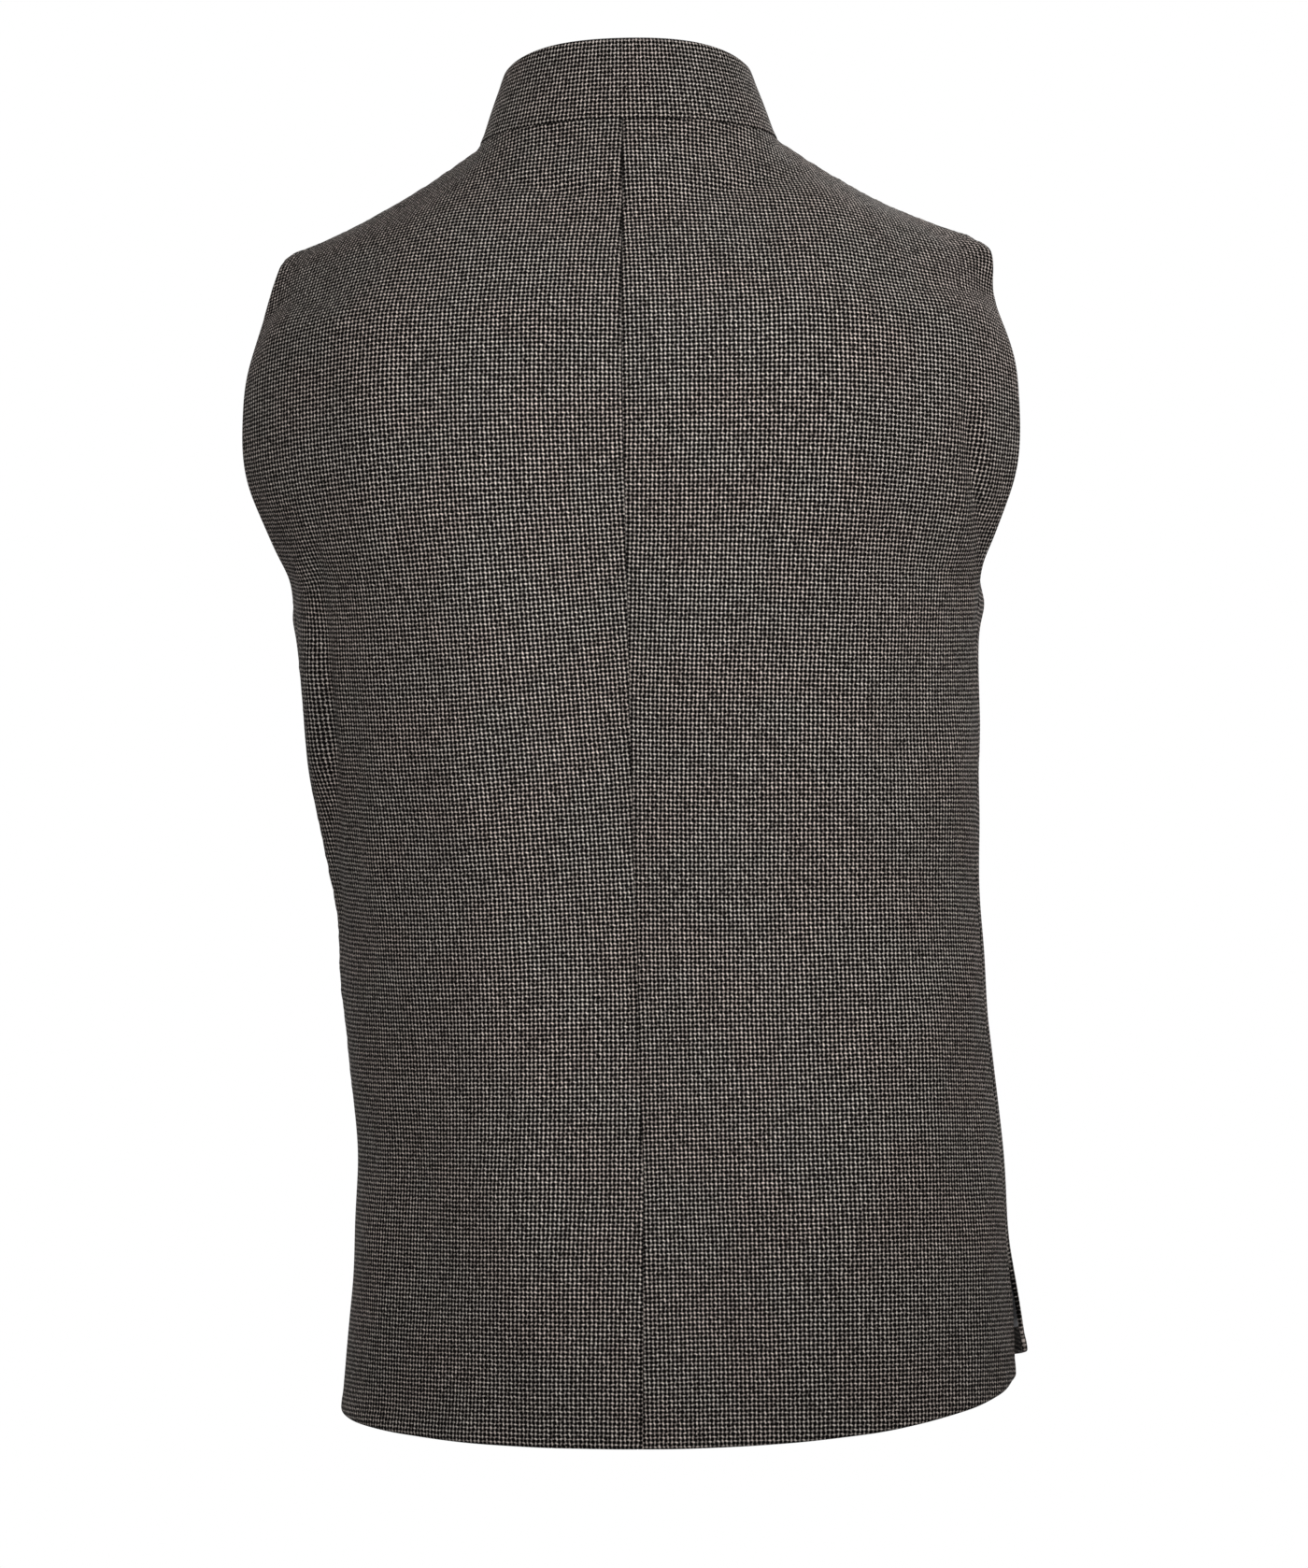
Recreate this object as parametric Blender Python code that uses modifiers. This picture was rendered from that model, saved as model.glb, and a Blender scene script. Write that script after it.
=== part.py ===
"""Nehru jacket: a sleeveless hip-length jacket with a band collar, in its worn, hollow form.

The frame is the wearer's: +Z is up, -Y is the front and +X is the wearer's left. The origin is
the middle of the neck base, level with the points where the shoulder seams meet the collar.
Sizes are in millimetres and become metres when a mesh is made.

Each panel is a grid of points. Below YOKE_LEVEL its rows run round level sections of the body,
and above it its columns rise to the neckline and to the shoulder seam. The wall then gets its
soft folds, its inner face and its edges, which stand back from each seam.
"""

import math
from collections import namedtuple

import bmesh
import bpy
import numpy as np
from mathutils import Vector

MILLIMETRE = 0.001

# The cloth: outer cloth with its lining, and the stiffer band of the collar.
WALL = 2.4
COLLAR_WALL = 3.0
SEAM_GAP = 0.4

# The neckline, an oval that drops to the front, and the shoulder seam from it to the armhole.
NECK_HALF_WIDTH = 82
NECK_BACK = 58
NECK_BACK_RISE = 8
NECK_FRONT = 78
NECK_FRONT_DROP = 75
NECK_DROP_CURVE = 1.25
SHOULDER_TIP = (194, -4, -58)
SHOULDER_DIP = 6

# How the cloth arrives at the neckline: its level run and its rise for each step along the cloth
# at the centre line, and at the corner where neckline and shoulder seam meet.
CENTRE_RUN = 0.42
CENTRE_RISE = 0.91
CORNER_SPREAD = 0.55
SHOULDER_SLOPE = 0.52

# The levels between which the grids are laid out.
YOKE_LEVEL = -100
YOKE_STEP = 6
UNDERARM_LEVEL = -250
VENT_TOP = -597

# The hem: its level at the centre back, the centre front and the side corners.
HEM_BACK = -713
HEM_FRONT = -692
HEM_SWEEP = 2
HEM_SIDE = {("back", 1): -700, ("back", -1): -686, ("front", 1): -684, ("front", -1): -673}

# The collar's height at the back, beside the neck and at the front, its lean inwards and its
# round front corners.
COLLAR_BACK_HEIGHT = 45
COLLAR_SIDE_HEIGHT = 41
COLLAR_FRONT_HEIGHT = 38
COLLAR_BACK_LEAN = 12
COLLAR_SIDE_LEAN = 20
COLLAR_CORNER = 20
COLLAR_OPENING = 3

# The front closure, left over right, and its six buttons.
OVERLAP = {1: 16, -1: 18}
LAP_OFFSET = 1.6
LAP_FULL = 20
LAP_END = 52
LAP_TOP_GAP = 2.5
BUTTON_LEVELS = [-92 - 97 * i for i in range(6)]
BUTTON_DIAMETER = 20
BUTTON_THICKNESS = 4
BUTTON_CLEARANCE = 0.35

# The vents' edges stand apart: how far each moves out and along at the hem, and how fast that
# fades upwards and into the panel.
VENT_FADE_UP = 1.5
VENT_FADE_IN = 7
VENT_SPREAD = {
    ("back", 1): (4, 5), ("back", -1): (3, 5), ("front", 1): (-2, -5), ("front", -1): (7, -5),
}

# Grid counts: across to the neck, across the shoulder, and up each of the three zones.
NECK_COLUMNS = 7
SHOULDER_COLUMNS = 8
VENT_ROWS = 4
SKIRT_ROWS = 12
ARMHOLE_ROWS = 8
YOKE_ROWS = 8
YOKE_RELAXING = 12
ARMHOLE_CROWD = 1.35
COLLAR_ROWS = 4

# The share of a panel's width that ends on the neck, and how its front columns crowd together
# towards the centre front, where the collar's corners turn.
NECK_SHARE = {"back": 0.36, "front": 0.40}
FRONT_CROWD = 1.5
CENTRE_COLUMN = 2
Column = namedtuple("Column", "lap along kind part")

# How the body leans and turns, as it does on a figure that rests on one leg.
Stance = namedtuple("Stance", "level lean turn")
STANCE = [
    Stance(-100, 0, 0),
    Stance(-300, 0, 0),
    Stance(-390, -5, 3),
    Stance(-450, -9, 5),
    Stance(-510, -13, 7),
    Stance(-580, -17, 8),
    Stance(-640, -17, 8),
    Stance(-720, -14, 7),
]

# Sections of each face: how far it stands from the middle, its half width and its squareness.
Section = namedtuple("Section", "level depth width square")
BACK = [
    Section(-80, 101, 204, 2.3),
    Section(-100, 108, 207, 2.3),
    Section(-125, 113, 216, 2.4),
    Section(-150, 116, 221, 2.4),
    Section(-175, 117, 222, 2.4),
    Section(-200, 117, 215.5, 2.4),
    Section(-225, 115, 203, 2.4),
    Section(-250, 113, 191, 2.4),
    Section(-290, 109, 188.5, 2.4),
    Section(-340, 104, 187, 2.4),
    Section(-390, 100, 182.5, 2.4),
    Section(-440, 98, 179.5, 2.4),
    Section(-500, 101, 180, 2.4),
    Section(-560, 107, 180.5, 2.4),
    Section(-610, 112, 183, 2.4),
    Section(-660, 116, 185.5, 2.4),
    Section(-720, 118, 187, 2.4),
]
FRONT = [
    Section(-80, 88, 190, 2.1),
    Section(-100, 97, 191, 2.1),
    Section(-125, 107, 188, 2.2),
    Section(-150, 114, 187, 2.2),
    Section(-175, 119, 188, 2.2),
    Section(-200, 122, 189, 2.2),
    Section(-225, 124, 190, 2.2),
    Section(-250, 125, 191, 2.2),
    Section(-290, 125, 188.5, 2.2),
    Section(-340, 123, 187, 2.2),
    Section(-390, 121, 182.5, 2.2),
    Section(-440, 121, 179.5, 2.2),
    Section(-500, 122, 180, 2.2),
    Section(-560, 124, 180.5, 2.2),
    Section(-610, 126, 183, 2.2),
    Section(-660, 127, 185.5, 2.2),
    Section(-720, 128, 187, 2.2),
]

# Where each panel ends, as a distance back from the middle: the armhole, then the side seam.
Edge = namedtuple("Edge", "level back front")
ARMHOLE = [
    Edge(-80, 12, -22),
    Edge(-100, 24, -36),
    Edge(-125, 34, -52),
    Edge(-150, 41, -63),
    Edge(-175, 43, -66),
    Edge(-200, 41, -61),
    Edge(-222, 36, -46),
    Edge(-238, 29, -26),
    Edge(-246, 22, -6),
    Edge(-250, 14, 14),
]
Seam = namedtuple("Seam", "level left right")
SIDE_SEAM = [
    Seam(-250, 14, 14),
    Seam(-300, 22, 12),
    Seam(-360, 24, 10),
    Seam(-430, 16, 8),
    Seam(-520, 8, 4),
    Seam(-600, 4, 2),
    Seam(-720, 2, 0),
]

# Folds end within this share of a panel's width and this many rows of its top.
FOLD_END_SHARE = 0.14
FOLD_END_ROWS = 4

# Soft folds: the middle of each, its half length and half width, its tilt from upright in
# degrees, clockwise from outside at the back, and its height, which is below 0 for a trough.
Fold = namedtuple("Fold", "face x level length width tilt height")
FOLDS = [
    Fold("back", 0, -190, 150, 26, 0, -3.5),
    Fold("back", 92, -170, 80, 46, 8, 3.5),
    Fold("back", -98, -165, 80, 46, -8, 4.5),
    Fold("back", 0, -40, 24, 60, 0, -3.0),
    Fold("back", 62, -320, 130, 24, 4, 3.0),
    Fold("back", 106, -350, 150, 18, 3, -2.6),
    Fold("back", -64, -400, 160, 22, -3, -2.8),
    Fold("back", -112, -340, 120, 24, 6, 2.4),
    Fold("back", 40, -560, 130, 22, 2, 2.6),
    Fold("back", 96, -600, 110, 20, -3, -2.4),
    Fold("back", -74, -600, 120, 20, 3, -3.0),
    Fold("back", -128, -590, 110, 20, 0, 2.6),
    Fold("back", 150, -300, 110, 12, 3, -3.2),
    Fold("back", -182, -205, 60, 9, -4, -4.0),
    Fold("front", 95, -190, 70, 50, 10, 3.5),
    Fold("front", -95, -190, 70, 50, -10, 3.5),
    Fold("front", 88, -330, 110, 20, 6, -2.6),
    Fold("front", -96, -350, 130, 22, -5, -3.0),
    Fold("front", 62, -540, 120, 24, 3, 2.6),
    Fold("front", -70, -560, 130, 24, -4, 2.8),
    Fold("front", 120, -560, 110, 18, -3, -2.6),
    Fold("front", -128, -530, 100, 18, 4, -2.4),
]

CLOTH = (0.105, 0.094, 0.086)
COLLAR_CLOTH = (0.100, 0.088, 0.081)
HORN = (0.020, 0.017, 0.015)


def hermite(t, start, leave, end, arrive):
    """A point of the curve between two ends with the given tangents."""
    return (
        (1 + 2 * t) * (1 - t) ** 2 * start
        + t * (1 - t) ** 2 * leave
        + t * t * (3 - 2 * t) * end
        + t * t * (t - 1) * arrive
    )


def smooth(rows, column, level):
    """The value of a table's column at a level, on a curve that never overshoots its rows."""
    rows = sorted(rows, key=lambda row: row.level)
    levels = np.array([row.level for row in rows], float)
    values = np.array([getattr(row, column) for row in rows], float)
    gaps = np.diff(levels)
    slopes = np.diff(values) / gaps
    tangents = np.zeros(len(values))
    tangents[0], tangents[-1] = slopes[0], slopes[-1]
    for i in range(1, len(values) - 1):
        if slopes[i - 1] * slopes[i] > 0:
            tangents[i] = 2 * slopes[i - 1] * slopes[i] / (slopes[i - 1] + slopes[i])
    place = np.clip(level, levels[0], levels[-1])
    i = int(np.clip(np.searchsorted(levels, place) - 1, 0, len(gaps) - 1))
    t = (place - levels[i]) / gaps[i]
    leave, arrive = tangents[i] * gaps[i], tangents[i + 1] * gaps[i]
    return hermite(t, values[i], leave, values[i + 1], arrive)


def ease(t):
    """0 below 0, 1 above 1 and a smooth step between."""
    t = float(np.clip(t, 0, 1))
    return t * t * (3 - 2 * t)


def quarter(depth, width, square, ends_at, count=48):
    """Points from the centre line, at the given depth, round to where the depth is ends_at."""
    last = math.acos(min(1, (abs(ends_at) / depth) ** (square / 2)))
    angles = np.linspace(0, last, count)
    return width * np.sin(angles) ** (2 / square), depth * np.cos(angles) ** (2 / square)


def edge_depth(face, side, level):
    """How far back a panel's outer edge lies at a level: armhole above, side seam below."""
    if level > UNDERARM_LEVEL:
        return smooth(ARMHOLE, face, level)
    return smooth(SIDE_SEAM, "left" if side > 0 else "right", level)


def section(face, side, level):
    """A panel's level section from its centre line to its edge, in the body's own frame."""
    table = BACK if face == "back" else FRONT
    depth, width, square = (smooth(table, c, level) for c in ("depth", "width", "square"))
    edge = edge_depth(face, side, level)
    if face == "back":
        x, y = quarter(depth, width, square, max(edge, 0.5))
    elif edge <= 0:
        x, y = quarter(depth, width, square, edge)
        y = -y
    else:
        x, y = quarter(depth, width, square, 0)
        behind = smooth(BACK, "depth", level), width, smooth(BACK, "square", level)
        x2, y2 = quarter(*behind, 0)
        keep = y2 < edge
        end_x, end_y = (values[-1] for values in quarter(*behind, edge))
        x = np.concatenate([x, x2[keep][::-1][1:], [end_x]])
        y = np.concatenate([-y, y2[keep][::-1][1:], [end_y]])
    return np.column_stack([side * x, y])


def vent_shift(face, side, level, along):
    """How a vent's edge stands out and along, fading upwards and into the panel."""
    below = np.clip((VENT_TOP - level) / (VENT_TOP - HEM_BACK), 0, 1)
    out, back = VENT_SPREAD[face, side]
    fade = below**VENT_FADE_UP * along**VENT_FADE_IN
    return np.array([side * out * fade, back * fade])


def lengths_along(line):
    """The distance of each point of a line from its first one."""
    return np.concatenate([[0], np.cumsum(np.linalg.norm(np.diff(line, axis=0), axis=1))])


def body_point(face, side, level, column):
    """A point of a panel below the yoke, where a column crosses its level section."""
    facing = -side if column.lap else side
    line = section(face, facing, level)
    lengths = lengths_along(line)
    at = column.lap or column.along * lengths[-1]
    flat = np.array([np.interp(at, lengths, line[:, k]) for k in (0, 1)])
    flat = flat + vent_shift(face, side, level, 0 if column.lap else column.along)
    turn = -math.radians(smooth(STANCE, "turn", level))
    x = flat[0] * math.cos(turn) - flat[1] * math.sin(turn)
    y = flat[0] * math.sin(turn) + flat[1] * math.cos(turn)
    return np.array([x + smooth(STANCE, "lean", level), y, level])


def neck_point(face, side, angle):
    """A point of the neckline: angle is 0 at the centre line and 90 degrees at the shoulder."""
    x = side * NECK_HALF_WIDTH * math.sin(angle)
    if face == "back":
        return np.array([x, NECK_BACK * math.cos(angle), NECK_BACK_RISE * math.cos(angle)])
    drop = NECK_FRONT_DROP * math.cos(angle) ** NECK_DROP_CURVE
    return np.array([x, -NECK_FRONT * math.cos(angle), -drop])


def hem_level(face, side, along):
    """The hem's level, lowest at the centre back."""
    centre = HEM_BACK if face == "back" else HEM_FRONT
    return centre + (HEM_SIDE[face, side] - centre) * along**HEM_SWEEP


def columns_of(face, side):
    """A panel's columns, from its free or sewn front edge or the centre back to its side."""
    columns = []
    if face == "front":
        columns += [Column(lap, 0, "neck", 0) for lap in (OVERLAP[side], OVERLAP[side] / 2)]
    crowd = 1.0 if face == "back" else FRONT_CROWD
    share = NECK_SHARE[face]
    for i in range(NECK_COLUMNS + 1):
        part = (i / NECK_COLUMNS) ** crowd
        spread = part if face == "back" else math.sin(part * math.pi / 2)
        columns.append(Column(0, share * spread, "neck", part))
    for i in range(1, SHOULDER_COLUMNS + 1):
        part = i / SHOULDER_COLUMNS
        columns.append(Column(0, share + part * (1 - share), "shoulder", part))
    return columns


def top_of(face, side, column):
    """Where a column ends, and the direction in which it arrives there."""
    forward = -1 if face == "back" else 1
    if column.kind == "shoulder":
        side_neck = neck_point(face, side, math.pi / 2)
        tip = np.array(SHOULDER_TIP) * [side, 1, 1]
        dip = np.array([0, 0, -SHOULDER_DIP * math.sin(column.part * math.pi)])
        end = side_neck * (1 - column.part) + tip * column.part + dip
        spread = CORNER_SPREAD * (1 - ease(column.part * 1.4))
        return end, np.array([side * (0.1 * column.part - spread), forward, SHOULDER_SLOPE * spread])
    facing, part = side, column.part
    if column.lap:
        facing = -side
        reach = NECK_SHARE[face] * lengths_along(section(face, facing, YOKE_LEVEL))[-1]
        part = math.asin(column.lap / reach) / (math.pi / 2)
    end = neck_point(face, facing, part * math.pi / 2)
    inward = CORNER_SPREAD * math.sin(part * math.pi / 2)
    share = part**3
    arrive = np.array([
        -facing * inward,
        forward * (CENTRE_RUN * (1 - share) + share),
        CENTRE_RISE * (1 - share) + SHOULDER_SLOPE * CORNER_SPREAD * share,
    ])
    if column.lap:
        end = end - arrive * LAP_TOP_GAP
    return end, arrive


def yoke_point(face, side, column, t):
    """A point above the yoke level: t is 0 there and 1 at the neckline or the shoulder seam."""
    start = body_point(face, side, YOKE_LEVEL, column)
    leave = start - body_point(face, side, YOKE_LEVEL - YOKE_STEP, column)
    end, arrive = top_of(face, side, column)
    reach = np.linalg.norm(end - start)
    return hermite(t, start, leave / np.linalg.norm(leave) * reach, end, arrive * reach)


def panel_grid(face, side):
    """A panel's outer points, rows from the hem up and columns from the centre line out."""
    columns = columns_of(face, side)
    grid = []
    for j in range(VENT_ROWS):
        row = []
        for column in columns:
            hem = hem_level(face, side, column.along)
            row.append(body_point(face, side, hem + (VENT_TOP - hem) * j / VENT_ROWS, column))
        grid.append(row)
    levels = [VENT_TOP + (UNDERARM_LEVEL - VENT_TOP) * j / SKIRT_ROWS for j in range(SKIRT_ROWS)]
    for j in range(ARMHOLE_ROWS):
        levels.append(UNDERARM_LEVEL + (YOKE_LEVEL - UNDERARM_LEVEL) * (j / ARMHOLE_ROWS) ** ARMHOLE_CROWD)
    grid += [[body_point(face, side, level, column) for column in columns] for level in levels]
    for j in range(YOKE_ROWS + 1):
        grid.append([yoke_point(face, side, column, j / YOKE_ROWS) for column in columns])
    return relax_yoke(np.array(grid))


def relax_yoke(grid):
    """Evens out the cloth between the yoke level and the shoulder by drawing points together."""
    first = len(grid) - YOKE_ROWS
    for _ in range(YOKE_RELAXING):
        up_down = (grid[first - 1:-2, 1:-1] + grid[first + 1:, 1:-1]) / 2
        sideways = (grid[first:-1, :-2] + grid[first:-1, 2:]) / 2
        middle = grid[first:-1, 1:-1]
        grid[first:-1, 1:-1] = 0.5 * middle + 0.25 * up_down + 0.25 * sideways
    return grid


def grid_normals(grid, face, side):
    """Unit normals that point away from the body."""
    outward = side if face == "front" else -side
    normals = np.cross(np.gradient(grid, axis=1), np.gradient(grid, axis=0)) * outward
    return normals / np.linalg.norm(normals, axis=2, keepdims=True)


def place_key(place):
    """The same key for points of two pieces that lie in one place."""
    return tuple(np.round(place, 2) + 0.0)


def share_normals(grids, normals):
    """Gives points that panels share at a seam one normal, the mean of theirs."""
    sums = {}
    for name, grid in grids.items():
        for place, normal in zip(grid.reshape(-1, 3), normals[name].reshape(-1, 3)):
            key = place_key(place)
            sums[key] = sums.get(key, 0) + normal
    for name, grid in grids.items():
        flat = normals[name].reshape(-1, 3)
        for i, place in enumerate(grid.reshape(-1, 3)):
            total = sums[place_key(place)]
            flat[i] = total / np.linalg.norm(total)


def fold_height(face, place):
    """How far the folds of one face of the jacket lift the cloth at a point."""
    total = 0.0
    for fold in FOLDS:
        if fold.face != face:
            continue
        tilt = math.radians(fold.tilt)
        dx, dz = place[0] - fold.x, place[2] - fold.level
        along = dz * math.cos(tilt) + dx * math.sin(tilt)
        across = dx * math.cos(tilt) - dz * math.sin(tilt)
        total += fold.height * math.exp(-((along / fold.length) ** 2) - (across / fold.width) ** 2)
    return total


def lift_folds(face, columns, grid, normals):
    """The grid with its folds, which end before the side, the shoulder and the neck."""
    lifted = grid.copy()
    last = grid.shape[0] - 1
    for j, row in enumerate(grid):
        for i, place in enumerate(row):
            fade = ease((1 - columns[i].along) / FOLD_END_SHARE) * ease((last - j) / FOLD_END_ROWS)
            lifted[j, i] += normals[j, i] * fold_height(face, place) * fade
    return lifted


def lay_lap(side, grid, normals):
    """The front's grid with its overlap moved out on the left and in on the right."""
    laid = grid.copy()
    for j, row in enumerate(grid):
        for i, place in enumerate(row):
            distance = np.linalg.norm(place - row[CENTRE_COLUMN]) if i > CENTRE_COLUMN else 0
            fade = ease((LAP_END - distance) / (LAP_END - LAP_FULL))
            laid[j, i] += normals[j, i] * side * LAP_OFFSET * fade
    return laid


def collar_frame(face, side, angle):
    """The collar's foot, height and lean at one place round the neck."""
    foot = neck_point(face, side, angle)
    part = math.sin(angle)
    if face == "back":
        height = COLLAR_BACK_HEIGHT + (COLLAR_SIDE_HEIGHT - COLLAR_BACK_HEIGHT) * part**4
    else:
        height = COLLAR_SIDE_HEIGHT + (COLLAR_FRONT_HEIGHT - COLLAR_SIDE_HEIGHT) * math.cos(angle)
    lean = math.radians(COLLAR_BACK_LEAN + (COLLAR_SIDE_LEAN - COLLAR_BACK_LEAN) * part**3)
    inward = -np.array([foot[0], foot[1], 0.0])
    inward /= np.linalg.norm(inward)
    return foot, height, inward * math.sin(lean) + np.array([0, 0, math.cos(lean)])


def collar_grid():
    """The collar's outer points, from its left front end round the back to its right front end."""
    feet = []
    for side in (1, -1):
        half = []
        for i in range(NECK_COLUMNS + 1):
            half.append(collar_frame("front", side, (i / NECK_COLUMNS) ** FRONT_CROWD * math.pi / 2))
        for i in range(NECK_COLUMNS - 1, 0 if side < 0 else -1, -1):
            half.append(collar_frame("back", side, i / NECK_COLUMNS * math.pi / 2))
        feet += half if side > 0 else half[::-1]
    places = np.array([foot for foot, _, _ in feet])
    lengths = lengths_along(places)
    rows = []
    for j in range(COLLAR_ROWS + 1):
        row = []
        for place, length, (_, height, rise) in zip(places, lengths, feet):
            from_end = min(length, lengths[-1] - length, COLLAR_CORNER)
            cut = COLLAR_CORNER - math.sqrt(COLLAR_CORNER**2 - (COLLAR_CORNER - from_end) ** 2)
            row.append(place + rise * (height - cut) * j / COLLAR_ROWS)
        rows.append(row)
    return np.array(rows)


def pull_back(layer, foot=0, top=0, start=0, end=0):
    """Moves the edges of a grid back along the cloth, each by its own distance."""

    def step(edge, inner, distance):
        away = inner - edge
        return away / np.linalg.norm(away, axis=-1, keepdims=True) * distance

    moved = layer.copy()
    moved[0] += step(layer[0], layer[1], foot)
    moved[-1] += step(layer[-1], layer[-2], top)
    moved[:, 0] += step(layer[:, 0], layer[:, 1], start)
    moved[:, -1] += step(layer[:, -1], layer[:, -2], end)
    return moved


def plain_material(name, colour, roughness):
    material = bpy.data.materials.new(name)
    material.use_nodes = True
    shader = material.node_tree.nodes["Principled BSDF"]
    shader.inputs["Base Color"].default_value = (*colour, 1)
    shader.inputs["Roughness"].default_value = roughness
    material.diffuse_color = (*colour, 1)
    return material


def add_wall(name, outer, inner, material, collection):
    """A closed wall between two grids of points, with its four rims."""
    rows, columns = outer.shape[:2]
    mesh = bpy.data.meshes.new(name)
    shape = bmesh.new()
    faces = []
    layers = []
    for layer in (outer, inner):
        layers.append([[shape.verts.new(p * MILLIMETRE) for p in row] for row in layer])
    front, back = layers
    for j in range(rows - 1):
        for i in range(columns - 1):
            faces.append((front[j][i], front[j][i + 1], front[j + 1][i + 1], front[j + 1][i]))
            faces.append((back[j][i], back[j + 1][i], back[j + 1][i + 1], back[j][i + 1]))
    for j in range(rows - 1):
        for i in (0, columns - 1):
            faces.append((front[j][i], front[j + 1][i], back[j + 1][i], back[j][i]))
    for i in range(columns - 1):
        for j in (0, rows - 1):
            faces.append((front[j][i], front[j][i + 1], back[j][i + 1], back[j][i]))
    for face in faces:
        shape.faces.new(face)
    bmesh.ops.recalc_face_normals(shape, faces=shape.faces)
    shape.to_mesh(mesh)
    shape.free()
    mesh.materials.append(material)
    mesh.shade_smooth()
    mesh.set_sharp_from_angle(angle=math.radians(40))
    wall = bpy.data.objects.new(name, mesh)
    collection.objects.link(wall)
    return wall


def add_button(number, place, outward, material, collection):
    """A round button with a soft rim and a shallow dish, its back a little off the cloth."""
    radius = BUTTON_DIAMETER / 2
    profile = [
        (0.0, BUTTON_THICKNESS - 1.2),
        (0.62 * radius, BUTTON_THICKNESS - 1.0),
        (0.80 * radius, BUTTON_THICKNESS),
        (0.93 * radius, BUTTON_THICKNESS - 0.3),
        (radius, BUTTON_THICKNESS - 1.4),
        (0.92 * radius, 0.5),
        (0.6 * radius, 0.0),
        (0.0, 0.0),
    ]
    mesh = bpy.data.meshes.new(f"button_{number}")
    points = [(r * MILLIMETRE, 0, z * MILLIMETRE) for r, z in profile]
    mesh.from_pydata(points, [(i, i + 1) for i in range(len(points) - 1)], [])
    button = bpy.data.objects.new(f"button_{number}", mesh)
    collection.objects.link(button)
    turn = button.modifiers.new("turn", "SCREW")
    turn.steps = 18
    turn.render_steps = 18
    turn.use_merge_vertices = True
    turn.merge_threshold = 0.00001
    mesh.materials.append(material)
    button.rotation_mode = "QUATERNION"
    button.rotation_quaternion = Vector(outward).to_track_quat("Z", "Y")
    button.location = Vector((place + outward * BUTTON_CLEARANCE) * MILLIMETRE)


def shape_panels():
    """Each panel's outer points with their folds, and the normals that its wall stands on."""
    grids = {(face, side): panel_grid(face, side) for face in ("back", "front") for side in (1, -1)}
    normals = {key: grid_normals(grid, *key) for key, grid in grids.items()}
    share_normals(grids, normals)
    for key, grid in grids.items():
        grids[key] = lift_folds(key[0], columns_of(*key), grid, normals[key])
    normals = {key: grid_normals(grid, *key) for key, grid in grids.items()}
    share_normals(grids, normals)
    return grids, normals


def mitre_at_neck(grid, depths, collar, collar_depths):
    """Slants the wall's inner edge and the collar's so that they meet along the neckline."""
    feet = {place_key(foot): k for k, foot in enumerate(collar[0])}
    for i, place in enumerate(grid[-1]):
        k = feet.get(place_key(place))
        if k is None:
            continue
        panel_normal = depths[-1, i] / np.linalg.norm(depths[-1, i])
        collar_normal = grid_normals(collar, "front", 1)[0, k]
        mean = panel_normal + collar_normal
        mean /= np.linalg.norm(mean)
        depths[-1, i] = mean * WALL / (mean @ panel_normal)
        collar_depths[0, k] = mean * COLLAR_WALL / (mean @ collar_normal)


def add_walls(collection):
    """The four panels and the collar. Returns the left front's outer points and normals."""
    panel_cloth = plain_material("wool_cloth", CLOTH, 0.9)
    collar_cloth = plain_material("collar_cloth", COLLAR_CLOTH, 0.9)
    grids, normals = shape_panels()
    collar = collar_grid()
    collar_depths = grid_normals(collar, "front", 1) * COLLAR_WALL
    half = SEAM_GAP / 2
    for (face, side), grid in grids.items():
        depths = normals[face, side] * WALL
        mitre_at_neck(grid, depths, collar, collar_depths)
        outer = lay_lap(side, grid, normals[face, side]) if face == "front" else grid
        seams = {"top": half, "start": half if face == "back" else 0, "end": half}
        walls = (pull_back(layer, **seams) for layer in (outer, outer - depths))
        name = f"{face}_{'left' if side > 0 else 'right'}"
        add_wall(name, *walls, panel_cloth, collection)
        grids[face, side] = outer
    edges = {"foot": SEAM_GAP * 0.75, "start": COLLAR_OPENING / 2, "end": COLLAR_OPENING / 2}
    walls = (pull_back(layer, **edges) for layer in (collar, collar - collar_depths))
    add_wall("collar", *walls, collar_cloth, collection)
    return grids["front", 1], normals["front", 1]


def add_buttons(front, normals, collection):
    """The buttons, down the centre front on the left panel."""
    horn = plain_material("horn", HORN, 0.35)
    line, slopes = front[:, CENTRE_COLUMN], normals[:, CENTRE_COLUMN]
    for number, level in enumerate(BUTTON_LEVELS, 1):
        place = np.array([np.interp(level, line[:, 2], line[:, k]) for k in range(3)])
        outward = np.array([np.interp(level, line[:, 2], slopes[:, k]) for k in range(3)])
        add_button(number, place, outward / np.linalg.norm(outward), horn, collection)


def main():
    for old in list(bpy.data.objects):
        bpy.data.objects.remove(old)
    collection = bpy.data.collections.new("nehru_jacket")
    bpy.context.scene.collection.children.link(collection)
    front, normals = add_walls(collection)
    add_buttons(front, normals, collection)


main()
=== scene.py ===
"""Dresses the nehru jacket's frame in cloth, lining, stitches and buttons, and sets up its studio.

The frame is the wearer's: +Z is up, -Y is the front and +X is the wearer's left. Sizes in the
classes are in millimetres unless a name says otherwise, and become metres when a mesh is made.
Each panel is first a small grid of points on a general figure, then a fine surface through them,
and last a closed shell with folded edges, seams that dip and listed folds.
"""

import logging
import math
from dataclasses import dataclass, field
from enum import Enum
from itertools import product
from typing import NamedTuple

import bmesh
import bpy
import numpy as np
from mathutils import Matrix, Vector

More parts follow.
